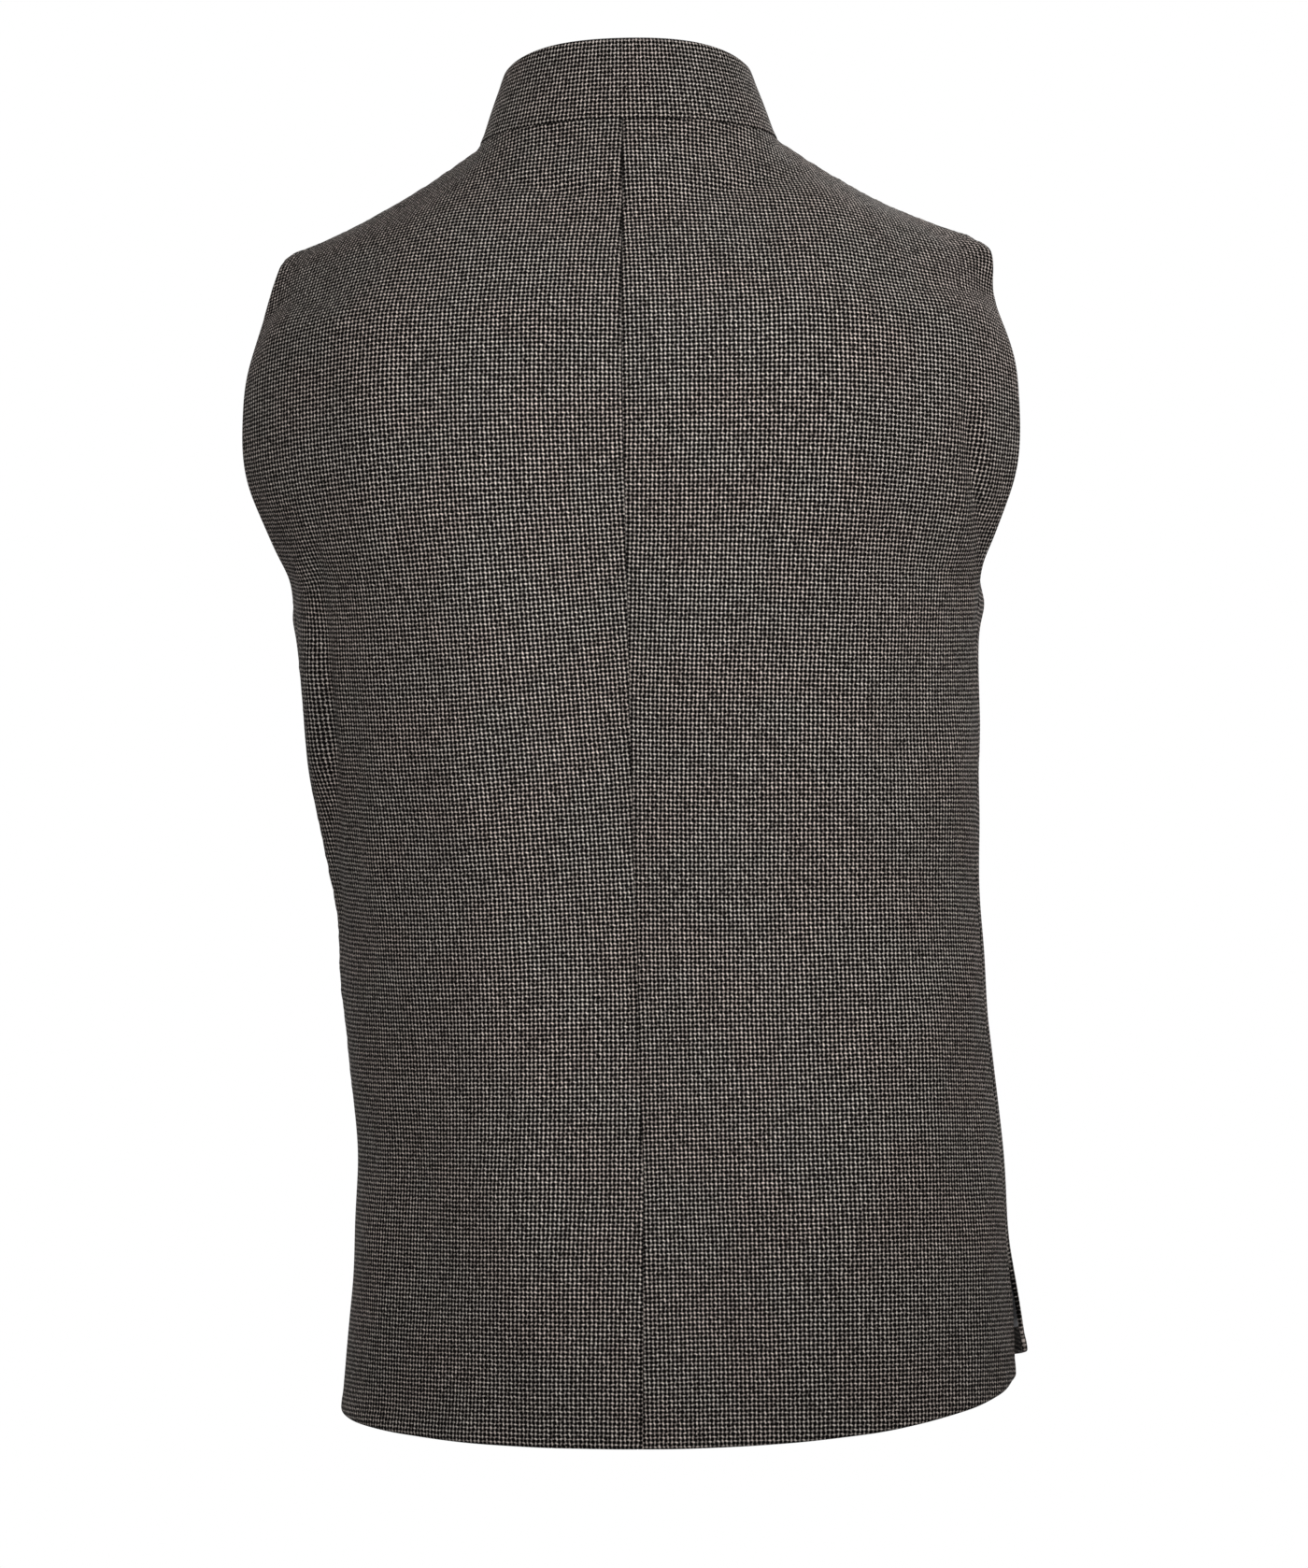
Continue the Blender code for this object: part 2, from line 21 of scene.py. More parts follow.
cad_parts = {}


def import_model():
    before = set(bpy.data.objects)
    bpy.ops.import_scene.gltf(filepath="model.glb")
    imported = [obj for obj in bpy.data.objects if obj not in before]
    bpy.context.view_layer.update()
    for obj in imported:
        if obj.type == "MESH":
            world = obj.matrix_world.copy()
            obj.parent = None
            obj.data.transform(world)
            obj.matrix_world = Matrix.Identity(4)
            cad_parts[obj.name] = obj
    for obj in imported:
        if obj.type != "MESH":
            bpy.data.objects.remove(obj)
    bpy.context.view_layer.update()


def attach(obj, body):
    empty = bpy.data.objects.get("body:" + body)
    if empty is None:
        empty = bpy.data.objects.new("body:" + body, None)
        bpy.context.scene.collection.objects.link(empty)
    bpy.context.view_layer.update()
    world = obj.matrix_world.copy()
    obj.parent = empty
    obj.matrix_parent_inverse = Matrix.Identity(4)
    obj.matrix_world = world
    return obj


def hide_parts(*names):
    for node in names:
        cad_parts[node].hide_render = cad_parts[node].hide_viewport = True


Array = np.ndarray
Object = bpy.types.Object
Mesh = bpy.types.Mesh
Material = bpy.types.Material
Socket = bpy.types.NodeSocket
Pair = tuple[float, float]
Triple = tuple[float, float, float]

LOG = logging.getLogger("nehru_jacket")
MILLIMETRE = 0.001
FLATTEN_ROUNDS = 900
FLATTEN_PULL = 0.12
UNEVEN_WAVE = 60
LEAST_CLOTH = 0.1
BODY = "root"


class Face(Enum):
    """The two faces of the jacket. The value is the direction in which each one faces along Y."""

    BACK = 1
    FRONT = -1


class Side(Enum):
    """The wearer's two sides. The value is their direction along X."""

    LEFT = 1
    RIGHT = -1


Grids = dict[tuple[Face, Side], Array]


class Stance(NamedTuple):
    """How far the figure leans to the side, and how many degrees it turns, at one level."""

    level: float
    lean: float
    turn: float


class Section(NamedTuple):
    """One level section of a face: its depth from the middle, half width and squareness."""

    level: float
    depth: float
    width: float
    square: float


class Limit(NamedTuple):
    """How far back two panels end at one level."""

    level: float
    first: float
    second: float


class Fold(NamedTuple):
    """A soft fold: its middle, half length, half width, tilt in degrees, height and bow."""

    x: float
    level: float
    length: float
    width: float
    tilt: float
    height: float
    bow: float = 0.0


class Column(NamedTuple):
    """One column of a panel's small grid: its lap, share of the width, and place on its top."""

    lap: float
    along: float
    on_neck: bool
    part: float


def placed(name: str, data: bpy.types.ID) -> Object:
    """A new object in the scene, with its mesh, light or camera.

    Args:
        name: The object's name.
        data: Its mesh, light or camera.

    Returns:
        The object.
    """
    made = bpy.data.objects.new(name, data)
    bpy.context.scene.collection.objects.link(made)
    return made


def mesh_of(name: str, shape: bmesh.types.BMesh, finish: Material | None = None) -> Mesh:
    """Turns a shape into a mesh with a finish, and frees the shape.

    Args:
        name: The mesh's name.
        shape: The shape, which is freed.
        finish: The material, if it has one.

    Returns:
        The mesh.
    """
    mesh = bpy.data.meshes.new(name)
    shape.to_mesh(mesh)
    shape.free()
    if finish:
        mesh.materials.append(finish)
    return mesh


def hermite(t: float, start: Array, leave: Array, end: Array, arrive: Array) -> Array:
    """A point of the curve between two ends with the given tangents.

    Args:
        t: 0 at the start and 1 at the end.
        start: The start.
        leave: The tangent there.
        end: The end.
        arrive: The tangent there.

    Returns:
        The point.
    """
    return (
        (1 + 2 * t) * (1 - t) ** 2 * start
        + t * (1 - t) ** 2 * leave
        + t * t * (3 - 2 * t) * end
        + t * t * (t - 1) * arrive
    )


def ease(t: Array) -> Array:
    """0 below 0, 1 above 1 and a smooth step between."""
    t = np.clip(t, 0.0, 1.0)
    return t * t * (3 - 2 * t)


def smooth(rows: tuple, column: str, level: float) -> float:
    """A table's value at a level, on a curve that never overshoots its rows.

    Args:
        rows: The table's rows, from the top level down.
        column: The name of the column.
        level: Where the value is wanted.

    Returns:
        The value there.
    """
    levels = np.array([row.level for row in rows][::-1], float)
    values = np.array([getattr(row, column) for row in rows][::-1], float)
    gaps = np.diff(levels)
    slopes = np.diff(values) / gaps
    tangents = np.zeros(len(values))
    tangents[0], tangents[-1] = slopes[0], slopes[-1]
    for i in range(1, len(values) - 1):
        if slopes[i - 1] * slopes[i] > 0:
            tangents[i] = 2 * slopes[i - 1] * slopes[i] / (slopes[i - 1] + slopes[i])
    place = np.clip(level, levels[0], levels[-1])
    i = int(np.clip(np.searchsorted(levels, place) - 1, 0, len(gaps) - 1))
    t = (place - levels[i]) / gaps[i]
    leave, arrive = tangents[i] * gaps[i], tangents[i + 1] * gaps[i]
    return float(hermite(t, values[i], leave, values[i + 1], arrive))


def lengths_along(line: Array) -> Array:
    """The distance of each point of a line from its first one."""
    return np.concatenate([[0.0], np.cumsum(np.linalg.norm(np.diff(line, axis=0), axis=1))])


def spline(knots: Array, places: Array) -> Array:
    """The matrix that carries values at knots to a natural cubic spline's values at places.

    Args:
        knots: Where the values are known, rising.
        places: Where values are wanted.

    Returns:
        A matrix with a row for each place and a column for each knot.
    """
    count = len(knots)
    gaps = np.diff(knots)
    left, right = np.eye(count), np.zeros((count, count))
    for i in range(1, count - 1):
        left[i, i - 1:i + 2] = gaps[i - 1], 2 * (gaps[i - 1] + gaps[i]), gaps[i]
        right[i, i - 1:i + 2] = 6 / gaps[i - 1], -6 / gaps[i - 1] - 6 / gaps[i], 6 / gaps[i]
    bends = np.linalg.solve(left, right)
    i = np.clip(np.searchsorted(knots, places, "right") - 1, 0, count - 2)
    before = (knots[i + 1] - places) / gaps[i]
    after = 1 - before
    matrix = np.zeros((len(places), count))
    rows = np.arange(len(places))
    matrix[rows, i] += before
    matrix[rows, i + 1] += after
    matrix += ((before**3 - before) * gaps[i] ** 2 / 6)[:, None] * bends[i]
    matrix += ((after**3 - after) * gaps[i] ** 2 / 6)[:, None] * bends[i + 1]
    return matrix


def normals_of(grid: Array, outward: int) -> Array:
    """Unit normals of a grid of points. outward is 1 or -1 and picks the side they point to."""
    normals = np.cross(np.gradient(grid, axis=1), np.gradient(grid, axis=0)) * outward
    return normals / np.maximum(np.linalg.norm(normals, axis=2, keepdims=True), 1e-9)


@dataclass(frozen=True)
class Figure:
    """The general figure that the jacket hangs on, and the jacket's cut on it.

    The back's and the front's sections are half ovals. The neckline is an oval that drops to the
    front, and the shoulder seam runs from it to the armhole.
    """

    neck_half_width: float = 82
    neck_back: float = 58
    neck_back_rise: float = 8
    neck_front: float = 78
    neck_front_drop: float = 75
    neck_drop_curve: float = 1.25
    shoulder_tip: Triple = (194, -4, -58)
    shoulder_dip: float = 6
    centre_run: float = 0.42
    centre_rise: float = 0.91
    corner_spread: float = 0.55
    corner_fade: float = 1.4
    tip_flare: float = 0.1
    shoulder_slope: float = 0.52
    yoke_level: float = -100
    yoke_step: float = 6
    underarm_level: float = -250
    vent_top: float = -597
    hem_back: float = -713
    hem_front: float = -692
    hem_sweep: float = 2
    vent_fade_up: float = 1.5
    vent_fade_in: float = 7
    lap_columns: int = 2
    neck_columns: int = 7
    shoulder_columns: int = 8
    vent_rows: int = 4
    skirt_rows: int = 12
    armhole_rows: int = 8
    yoke_rows: int = 8
    yoke_row: float = 17.5
    yoke_relaxing: int = 12
    armhole_crowd: float = 1.35
    front_crowd: float = 1.5
    lap_top_gap: float = 2.5
    stances: tuple[Stance, ...] = (
        Stance(-100, 0, 0),
        Stance(-300, 0, 0),
        Stance(-390, -5, 3),
        Stance(-450, -9, 5),
        Stance(-510, -13, 7),
        Stance(-580, -17, 8),
        Stance(-640, -17, 8),
        Stance(-720, -14, 7),
    )
    back: tuple[Section, ...] = (
        Section(-80, 101, 204, 2.3),
        Section(-100, 108, 207, 2.3),
        Section(-125, 113, 216, 2.4),
        Section(-150, 116, 221, 2.4),
        Section(-175, 117, 222, 2.4),
        Section(-200, 117, 215.5, 2.4),
        Section(-225, 115, 203, 2.4),
        Section(-250, 113, 191, 2.4),
        Section(-290, 109, 188.5, 2.4),
        Section(-340, 104, 187, 2.4),
        Section(-390, 100, 182.5, 2.4),
        Section(-440, 98, 179.5, 2.4),
        Section(-500, 101, 180, 2.4),
        Section(-560, 107, 180.5, 2.4),
        Section(-610, 112, 183, 2.4),
        Section(-660, 116, 185.5, 2.4),
        Section(-720, 118, 187, 2.4),
    )
    front: tuple[Section, ...] = (
        Section(-80, 88, 190, 2.1),
        Section(-100, 97, 191, 2.1),
        Section(-125, 107, 188, 2.2),
        Section(-150, 114, 187, 2.2),
        Section(-175, 119, 188, 2.2),
        Section(-200, 122, 189, 2.2),
        Section(-225, 124, 190, 2.2),
        Section(-250, 125, 191, 2.2),
        Section(-290, 125, 188.5, 2.2),
        Section(-340, 123, 187, 2.2),
        Section(-390, 121, 182.5, 2.2),
        Section(-440, 121, 179.5, 2.2),
        Section(-500, 122, 180, 2.2),
        Section(-560, 124, 180.5, 2.2),
        Section(-610, 126, 183, 2.2),
        Section(-660, 127, 185.5, 2.2),
        Section(-720, 128, 187, 2.2),
    )
    armhole: tuple[Limit, ...] = (
        Limit(-80, 12, -22),
        Limit(-100, 24, -36),
        Limit(-125, 34, -52),
        Limit(-150, 41, -63),
        Limit(-175, 43, -66),
        Limit(-200, 41, -61),
        Limit(-222, 36, -46),
        Limit(-238, 29, -26),
        Limit(-246, 22, -6),
        Limit(-250, 14, 14),
    )
    side_seam: tuple[Limit, ...] = (
        Limit(-250, 14, 14),
        Limit(-300, 22, 12),
        Limit(-360, 24, 10),
        Limit(-430, 16, 8),
        Limit(-520, 8, 4),
        Limit(-600, 4, 2),
        Limit(-720, 2, 0),
    )

    def hem_side(self, face: Face, side: Side) -> float:
        """The hem's level at a panel's side corner.

        Args:
            face: The panel's face.
            side: The panel's side.

        Returns:
            The level.
        """
        return {
            (Face.BACK, Side.LEFT): -700, (Face.BACK, Side.RIGHT): -686,
            (Face.FRONT, Side.LEFT): -684, (Face.FRONT, Side.RIGHT): -673,
        }[face, side]

    def vent_spread(self, face: Face, side: Side) -> Pair:
        """How far a vent's edge stands out and along at the hem.

        Args:
            face: The panel's face.
            side: The panel's side.

        Returns:
            How far it stands out along X and how far back along Y.
        """
        return {
            (Face.BACK, Side.LEFT): (4, 5), (Face.BACK, Side.RIGHT): (3, 5),
            (Face.FRONT, Side.LEFT): (-2, -5), (Face.FRONT, Side.RIGHT): (14, -5),
        }[face, side]

    def overlap(self, side: Side) -> float:
        """How far a front runs on past the centre line."""
        return 16 if side is Side.LEFT else 18

    def neck_share(self, face: Face) -> float:
        """The share of a panel's width that ends on the neck."""
        return 0.36 if face is Face.BACK else 0.40

    def edge_depth(self, face: Face, side: Side, level: float) -> float:
        """How far back a panel's outer edge lies at a level: armhole above, side seam below.

        Args:
            face: The panel's face.
            side: The panel's side.
            level: The level.

        Returns:
            The edge's place along Y.
        """
        if level > self.underarm_level:
            return smooth(self.armhole, "first" if face is Face.BACK else "second", level)
        return smooth(self.side_seam, "first" if side is Side.LEFT else "second", level)

    @staticmethod
    def quarter(depth: float, width: float, square: float, ends_at: float) -> tuple[Array, Array]:
        """Points from the centre line, at the given depth, round to where the depth is ends_at.

        Args:
            depth: The depth at the centre line.
            width: The largest half width.
            square: The oval's power: 2 is an ellipse.
            ends_at: The depth at the last point.

        Returns:
            The points' distances from the centre line, and their depths.
        """
        last = math.acos(min(1.0, (abs(ends_at) / depth) ** (square / 2)))
        angles = np.linspace(0, last, 48)
        return width * np.sin(angles) ** (2 / square), depth * np.cos(angles) ** (2 / square)

    def section(self, face: Face, side: Side, level: float) -> Array:
        """A panel's level section from its centre line to its edge, before the stance.

        Args:
            face: The panel's face.
            side: The panel's side.
            level: The level.

        Returns:
            The section's points, from the centre line to the edge.
        """
        table = self.back if face is Face.BACK else self.front
        depth, width, square = (smooth(table, c, level) for c in ("depth", "width", "square"))
        edge = self.edge_depth(face, side, level)
        if face is Face.BACK:
            x, y = self.quarter(depth, width, square, max(edge, 0.5))
        elif edge <= 0:
            x, y = self.quarter(depth, width, square, edge)
            y = -y
        else:
            x, y = self.quarter(depth, width, square, 0)
            behind = smooth(self.back, "depth", level), width, smooth(self.back, "square", level)
            x2, y2 = self.quarter(*behind, 0)
            keep = y2 < edge
            end_x, end_y = (values[-1] for values in self.quarter(*behind, edge))
            x = np.concatenate([x, x2[keep][::-1][1:], [end_x]])
            y = np.concatenate([-y, y2[keep][::-1][1:], [end_y]])
        return np.column_stack([side.value * x, y])

    def vent_shift(self, face: Face, side: Side, level: float, along: float) -> Array:
        """How a vent's edge stands out and along, fading upwards and into the panel.

        Args:
            face: The panel's face.
            side: The panel's side.
            level: The level.
            along: The place across the panel, from 0 to 1.

        Returns:
            How far out along X and how far back along Y.
        """
        below = np.clip((self.vent_top - level) / (self.vent_top - self.hem_back), 0, 1)
        out, back = self.vent_spread(face, side)
        fade = below**self.vent_fade_up * along**self.vent_fade_in
        return np.array([side.value * out * fade, back * fade])

    def body_point(self, face: Face, side: Side, level: float, column: Column) -> Array:
        """A point of a panel below the yoke, where a column crosses its level section.

        Args:
            face: The panel's face.
            side: The panel's side.
            level: The level.
            column: The column.

        Returns:
            The point.
        """
        facing = Side(-side.value) if column.lap else side
        line = self.section(face, facing, level)
        lengths = lengths_along(line)
        at = column.lap or column.along * lengths[-1]
        flat = np.array([np.interp(at, lengths, line[:, k]) for k in (0, 1)])
        flat = flat + self.vent_shift(face, side, level, 0 if column.lap else column.along)
        turn = -math.radians(smooth(self.stances, "turn", level))
        x = flat[0] * math.cos(turn) - flat[1] * math.sin(turn)
        y = flat[0] * math.sin(turn) + flat[1] * math.cos(turn)
        return np.array([x + smooth(self.stances, "lean", level), y, level])

    def neck_point(self, face: Face, side: Side, angle: float) -> Array:
        """A point of the neckline: angle is 0 at the centre and 90 degrees at the shoulder.

        Args:
            face: The panel's face.
            side: The panel's side.
            angle: 0 at the centre and half pi at the shoulder.

        Returns:
            The point.
        """
        x = side.value * self.neck_half_width * math.sin(angle)
        centred = math.cos(angle)
        if face is Face.BACK:
            return np.array([x, self.neck_back * centred, self.neck_back_rise * centred])
        drop = self.neck_front_drop * centred**self.neck_drop_curve
        return np.array([x, -self.neck_front * centred, -drop])

    def hem_level(self, face: Face, side: Side, along: float) -> float:
        """The hem's level, lowest at the centre back."""
        centre = self.hem_back if face is Face.BACK else self.hem_front
        return centre + (self.hem_side(face, side) - centre) * along**self.hem_sweep

    def columns_of(self, face: Face, side: Side) -> list[Column]:
        """A panel's columns, from its front edge or the centre back to its side.

        Args:
            face: The panel's face.
            side: The panel's side.

        Returns:
            The columns.
        """
        columns = []
        if face is Face.FRONT:
            for i in range(self.lap_columns):
                lap = self.overlap(side) * (1 - i / self.lap_columns)
                columns.append(Column(lap, 0, True, 0))
        share = self.neck_share(face)
        for i in range(self.neck_columns + 1):
            if face is Face.BACK:
                part = spread = i / self.neck_columns
            else:
                part = (i / self.neck_columns) ** self.front_crowd
                spread = math.sin(part * math.pi / 2)
            columns.append(Column(0, share * spread, True, part))
        for i in range(1, self.shoulder_columns + 1):
            part = i / self.shoulder_columns
            columns.append(Column(0, share + part * (1 - share), False, part))
        return columns

    def top_of(self, face: Face, side: Side, column: Column) -> tuple[Array, Array]:
        """Where a column ends, and the direction in which it arrives there.

        Args:
            face: The panel's face.
            side: The panel's side.
            column: The column.

        Returns:
            The end, and the direction there.
        """
        forward = -face.value
        if not column.on_neck:
            side_neck = self.neck_point(face, side, math.pi / 2)
            tip = np.array(self.shoulder_tip) * [side.value, 1, 1]
            dip = np.array([0, 0, -self.shoulder_dip * math.sin(column.part * math.pi)])
            end = side_neck * (1 - column.part) + tip * column.part + dip
            spread = self.corner_spread * (1 - float(ease(column.part * self.corner_fade)))
            out = side.value * (self.tip_flare * column.part - spread)
            return end, np.array([out, forward, self.shoulder_slope * spread])
        facing, part = side, column.part
        if column.lap:
            facing = Side(-side.value)
            line = self.section(face, facing, self.yoke_level)
            reach = self.neck_share(face) * lengths_along(line)[-1]
            part = math.asin(column.lap / reach) / (math.pi / 2)
        end = self.neck_point(face, facing, part * math.pi / 2)
        inward = self.corner_spread * math.sin(part * math.pi / 2)
        share = part**3
        arrive = np.array([
            -facing.value * inward,
            forward * (self.centre_run * (1 - share) + share),
            self.centre_rise * (1 - share) + self.shoulder_slope * self.corner_spread * share,
        ])
        if column.lap:
            end = end - arrive * self.lap_top_gap
        return end, arrive

    def yoke_point(self, face: Face, side: Side, column: Column, t: float) -> Array:
        """A point above the yoke level: t is 0 there and 1 at the top of the panel.

        Args:
            face: The panel's face.
            side: The panel's side.
            column: The column.
            t: 0 at the yoke level and 1 at the top.

        Returns:
            The point.
        """
        start = self.body_point(face, side, self.yoke_level, column)
        leave = start - self.body_point(face, side, self.yoke_level - self.yoke_step, column)
        end, arrive = self.top_of(face, side, column)
        reach = np.linalg.norm(end - start)
        return hermite(t, start, leave / np.linalg.norm(leave) * reach, end, arrive * reach)

    def levels(self) -> list[float]:
        """The levels of the small grid's rows from the vents' tops up to the yoke.

        Returns:
            The levels, rising.
        """
        rise = self.underarm_level - self.vent_top
        skirt = [self.vent_top + rise * j / self.skirt_rows for j in range(self.skirt_rows)]
        rise = self.yoke_level - self.underarm_level
        above = [(j / self.armhole_rows) ** self.armhole_crowd for j in range(self.armhole_rows)]
        return skirt + [self.underarm_level + rise * share for share in above]

    def row_knots(self) -> Array:
        """How far up the cloth each row of the small grid lies, the same for every panel.

        Returns:
            The rows' heights, rising.
        """
        vents = np.linspace(self.hem_back, self.vent_top, self.vent_rows, endpoint=False)
        yoke = self.yoke_level + np.arange(self.yoke_rows + 1) * self.yoke_row
        return np.concatenate([vents, self.levels(), yoke])

    def panel_points(self, face: Face, side: Side) -> Array:
        """A panel's small grid, rows from the hem up and columns from the centre line out.

        Args:
            face: The panel's face.
            side: The panel's side.

        Returns:
            The grid.
        """
        columns = self.columns_of(face, side)
        grid = []
        for j in range(self.vent_rows):
            row = []
            for column in columns:
                hem = self.hem_level(face, side, column.along)
                level = hem + (self.vent_top - hem) * j / self.vent_rows
                row.append(self.body_point(face, side, level, column))
            grid.append(row)
        for level in self.levels():
            grid.append([self.body_point(face, side, level, column) for column in columns])
        for j in range(self.yoke_rows + 1):
            t = j / self.yoke_rows
            grid.append([self.yoke_point(face, side, column, t) for column in columns])
        return self.relaxed(np.array(grid))

    def relaxed(self, grid: Array) -> Array:
        """Evens out the cloth between the yoke level and the shoulder.

        Args:
            grid: The panel's small grid, which is changed.

        Returns:
            The same grid.
        """
        first = len(grid) - self.yoke_rows
        for _ in range(self.yoke_relaxing):
            up_down = (grid[first - 1:-2, 1:-1] + grid[first + 1:, 1:-1]) / 2
            sideways = (grid[first:-1, :-2] + grid[first:-1, 2:]) / 2
            grid[first:-1, 1:-1] = 0.5 * grid[first:-1, 1:-1] + 0.25 * up_down + 0.25 * sideways
        return grid


@dataclass
class Surface:
    """A fine surface of cloth, as rows from the hem up and columns from the centre line out.

    Attributes:
        points: Where the cloth's outer face lies.
        outward: The way out from the body at each point.
        flat: Where each point lies on the flat cut.
        facing: 1 or -1, the turn that makes normals point away from the body.
    """

    points: Array
    outward: Array
    flat: Array
    facing: int

    def from_edges(self) -> tuple[Array, Array, Array, Array]:
        """The distances of each point from the first and last column and the first and last row.

        Returns:
            Four grids of distances, in that order.
        """
        across = np.linalg.norm(np.diff(self.points, axis=1), axis=2)
        up = np.linalg.norm(np.diff(self.points, axis=0), axis=2)
        start = np.pad(np.cumsum(across, axis=1), ((0, 0), (1, 0)))
        bottom = np.pad(np.cumsum(up, axis=0), ((1, 0), (0, 0)))
        return start, start[:, -1:] - start, bottom, bottom[-1:] - bottom

    def normals(self) -> Array:
        """Unit normals of the points as they lie now."""
        return normals_of(self.points, self.facing)

    def inset(self, start: Array, end: Array, bottom: Array, top: Array, gap: float) -> "Surface":
        """The same cloth trimmed back from its edges and laid out at another spacing.

        Args:
            start: The margin at the first column, one for each row.
            end: The margin at the last column, one for each row.
            bottom: The margin at the first row, one for each column.
            top: The margin at the last row, one for each column.
            gap: The new spacing.

        Returns:
            The trimmed surface.
        """
        whole = np.concatenate([self.points, self.outward, self.flat], axis=2)

        def along(block: Array, first: Array, last: Array) -> Array:
            """Lays each row's points out evenly between its two margins.

            Args:
                block: The points with their other numbers, in rows.
                first: The margin at each row's start.
                last: The margin at each row's end.

            Returns:
                The rows at their new places.
            """
            lengths = [lengths_along(row[:, :3]) for row in block]
            count = int(max(line[-1] for line in lengths) / gap) + 1
            rows = []
            for row, line, low, high in zip(block, lengths, first, last):
                places = np.linspace(low, line[-1] - high, count)
                rows.append([np.interp(places, line, row[:, k]) for k in range(row.shape[1])])
            return np.array(rows).transpose(0, 2, 1)

        whole = along(whole, start, end)
        bottom, top = (np.interp(np.linspace(0, 1, whole.shape[1]), np.linspace(0, 1, len(m)), m)
                       for m in (bottom, top))
        whole = along(whole.transpose(1, 0, 2), bottom, top).transpose(1, 0, 2)
        return Surface(whole[..., :3], whole[..., 3:6], whole[..., 6:], self.facing)


def cornered(knots: Array, places: Array, corner: int) -> Array:
    """As spline, but with a corner at one knot instead of a smooth bend.

    Args:
        knots: Where the values are known, rising.
        places: Where values are wanted.
        corner: The number of the knot with the corner.

    Returns:
        A matrix with a row for each place and a column for each knot.
    """
    weights = np.zeros((len(places), len(knots)))
    before = places <= knots[corner]
    weights[before, :corner + 1] = spline(knots[:corner + 1], places[before])
    weights[~before, corner:] = spline(knots[corner:], places[~before])
    return weights


def marks(length: float, spacing: float) -> Array:
    """Places along a length: close together beside both ends and even between them.

    Args:
        length: The whole length.
        spacing: The spacing in the middle.

    Returns:
        The places, rising.
    """
    close = np.array([0.0, 0.12, 0.4, 0.8, 1.3, 1.9, 2.7, 3.8])
    count = max(2, int((length - 2 * close[-1]) / spacing))
    middle = np.linspace(close[-1], length - close[-1], count + 1)
    return np.concatenate([close, middle[1:-1], (length - close)[::-1]])


def flatten(grid: Array, side: int, centre: int, yoke: int) -> Array:
    """Lays a small grid of cloth out flat, with its lengths kept as nearly as they can be.

    Args:
        grid: The cloth's points.
        side: 1 for the left side and -1 for the right.
        centre: The column that stays upright at 0 across.
        yoke: The last row that lies level.

    Returns:
        Two numbers for each point: across and up.
    """
    across = np.linalg.norm(np.diff(grid, axis=1), axis=2)
    across = np.pad(np.cumsum(across, axis=1), ((0, 0), (1, 0)))
    across -= across[:, centre:centre + 1]
    up = np.broadcast_to(lengths_along(grid[:, centre])[:, None], across.shape)
    flat = np.stack([across, up], axis=2)
    for row in range(yoke + 1, len(grid)):
        step = grid[row] - grid[row - 1]
        out = step[:, 0] * side
        rise = np.sqrt(np.maximum((step**2).sum(axis=1) - out**2, 0))
        flat[row] = flat[row - 1] + np.stack([out, rise], axis=1)
    every, but_last, but_first = slice(None), slice(0, -1), slice(1, None)
    ties = [
        ((every, but_last), (every, but_first)),
        ((but_last, every), (but_first, every)),
        ((but_last, but_last), (but_first, but_first)),
        ((but_last, but_first), (but_first, but_last)),
    ]
    lengths = [np.linalg.norm(grid[b] - grid[a], axis=2) for a, b in ties]
    for _ in range(FLATTEN_ROUNDS):
        move = np.zeros_like(flat)
        for (a, b), length in zip(ties, lengths):
            gap = flat[b] - flat[a]
            now = np.maximum(np.linalg.norm(gap, axis=2), 1e-6)
            pull = gap * ((now - length) / now)[..., None] * FLATTEN_PULL
            move[a] += pull
            move[b] -= pull
        flat = flat + move
    line = flat[-1, centre] - flat[0, centre]
    turn = math.atan2(line[0], line[1])
    spin = np.array([[math.cos(turn), math.sin(turn)], [-math.sin(turn), math.cos(turn)]])
    return (flat - flat[0, centre]) @ spin


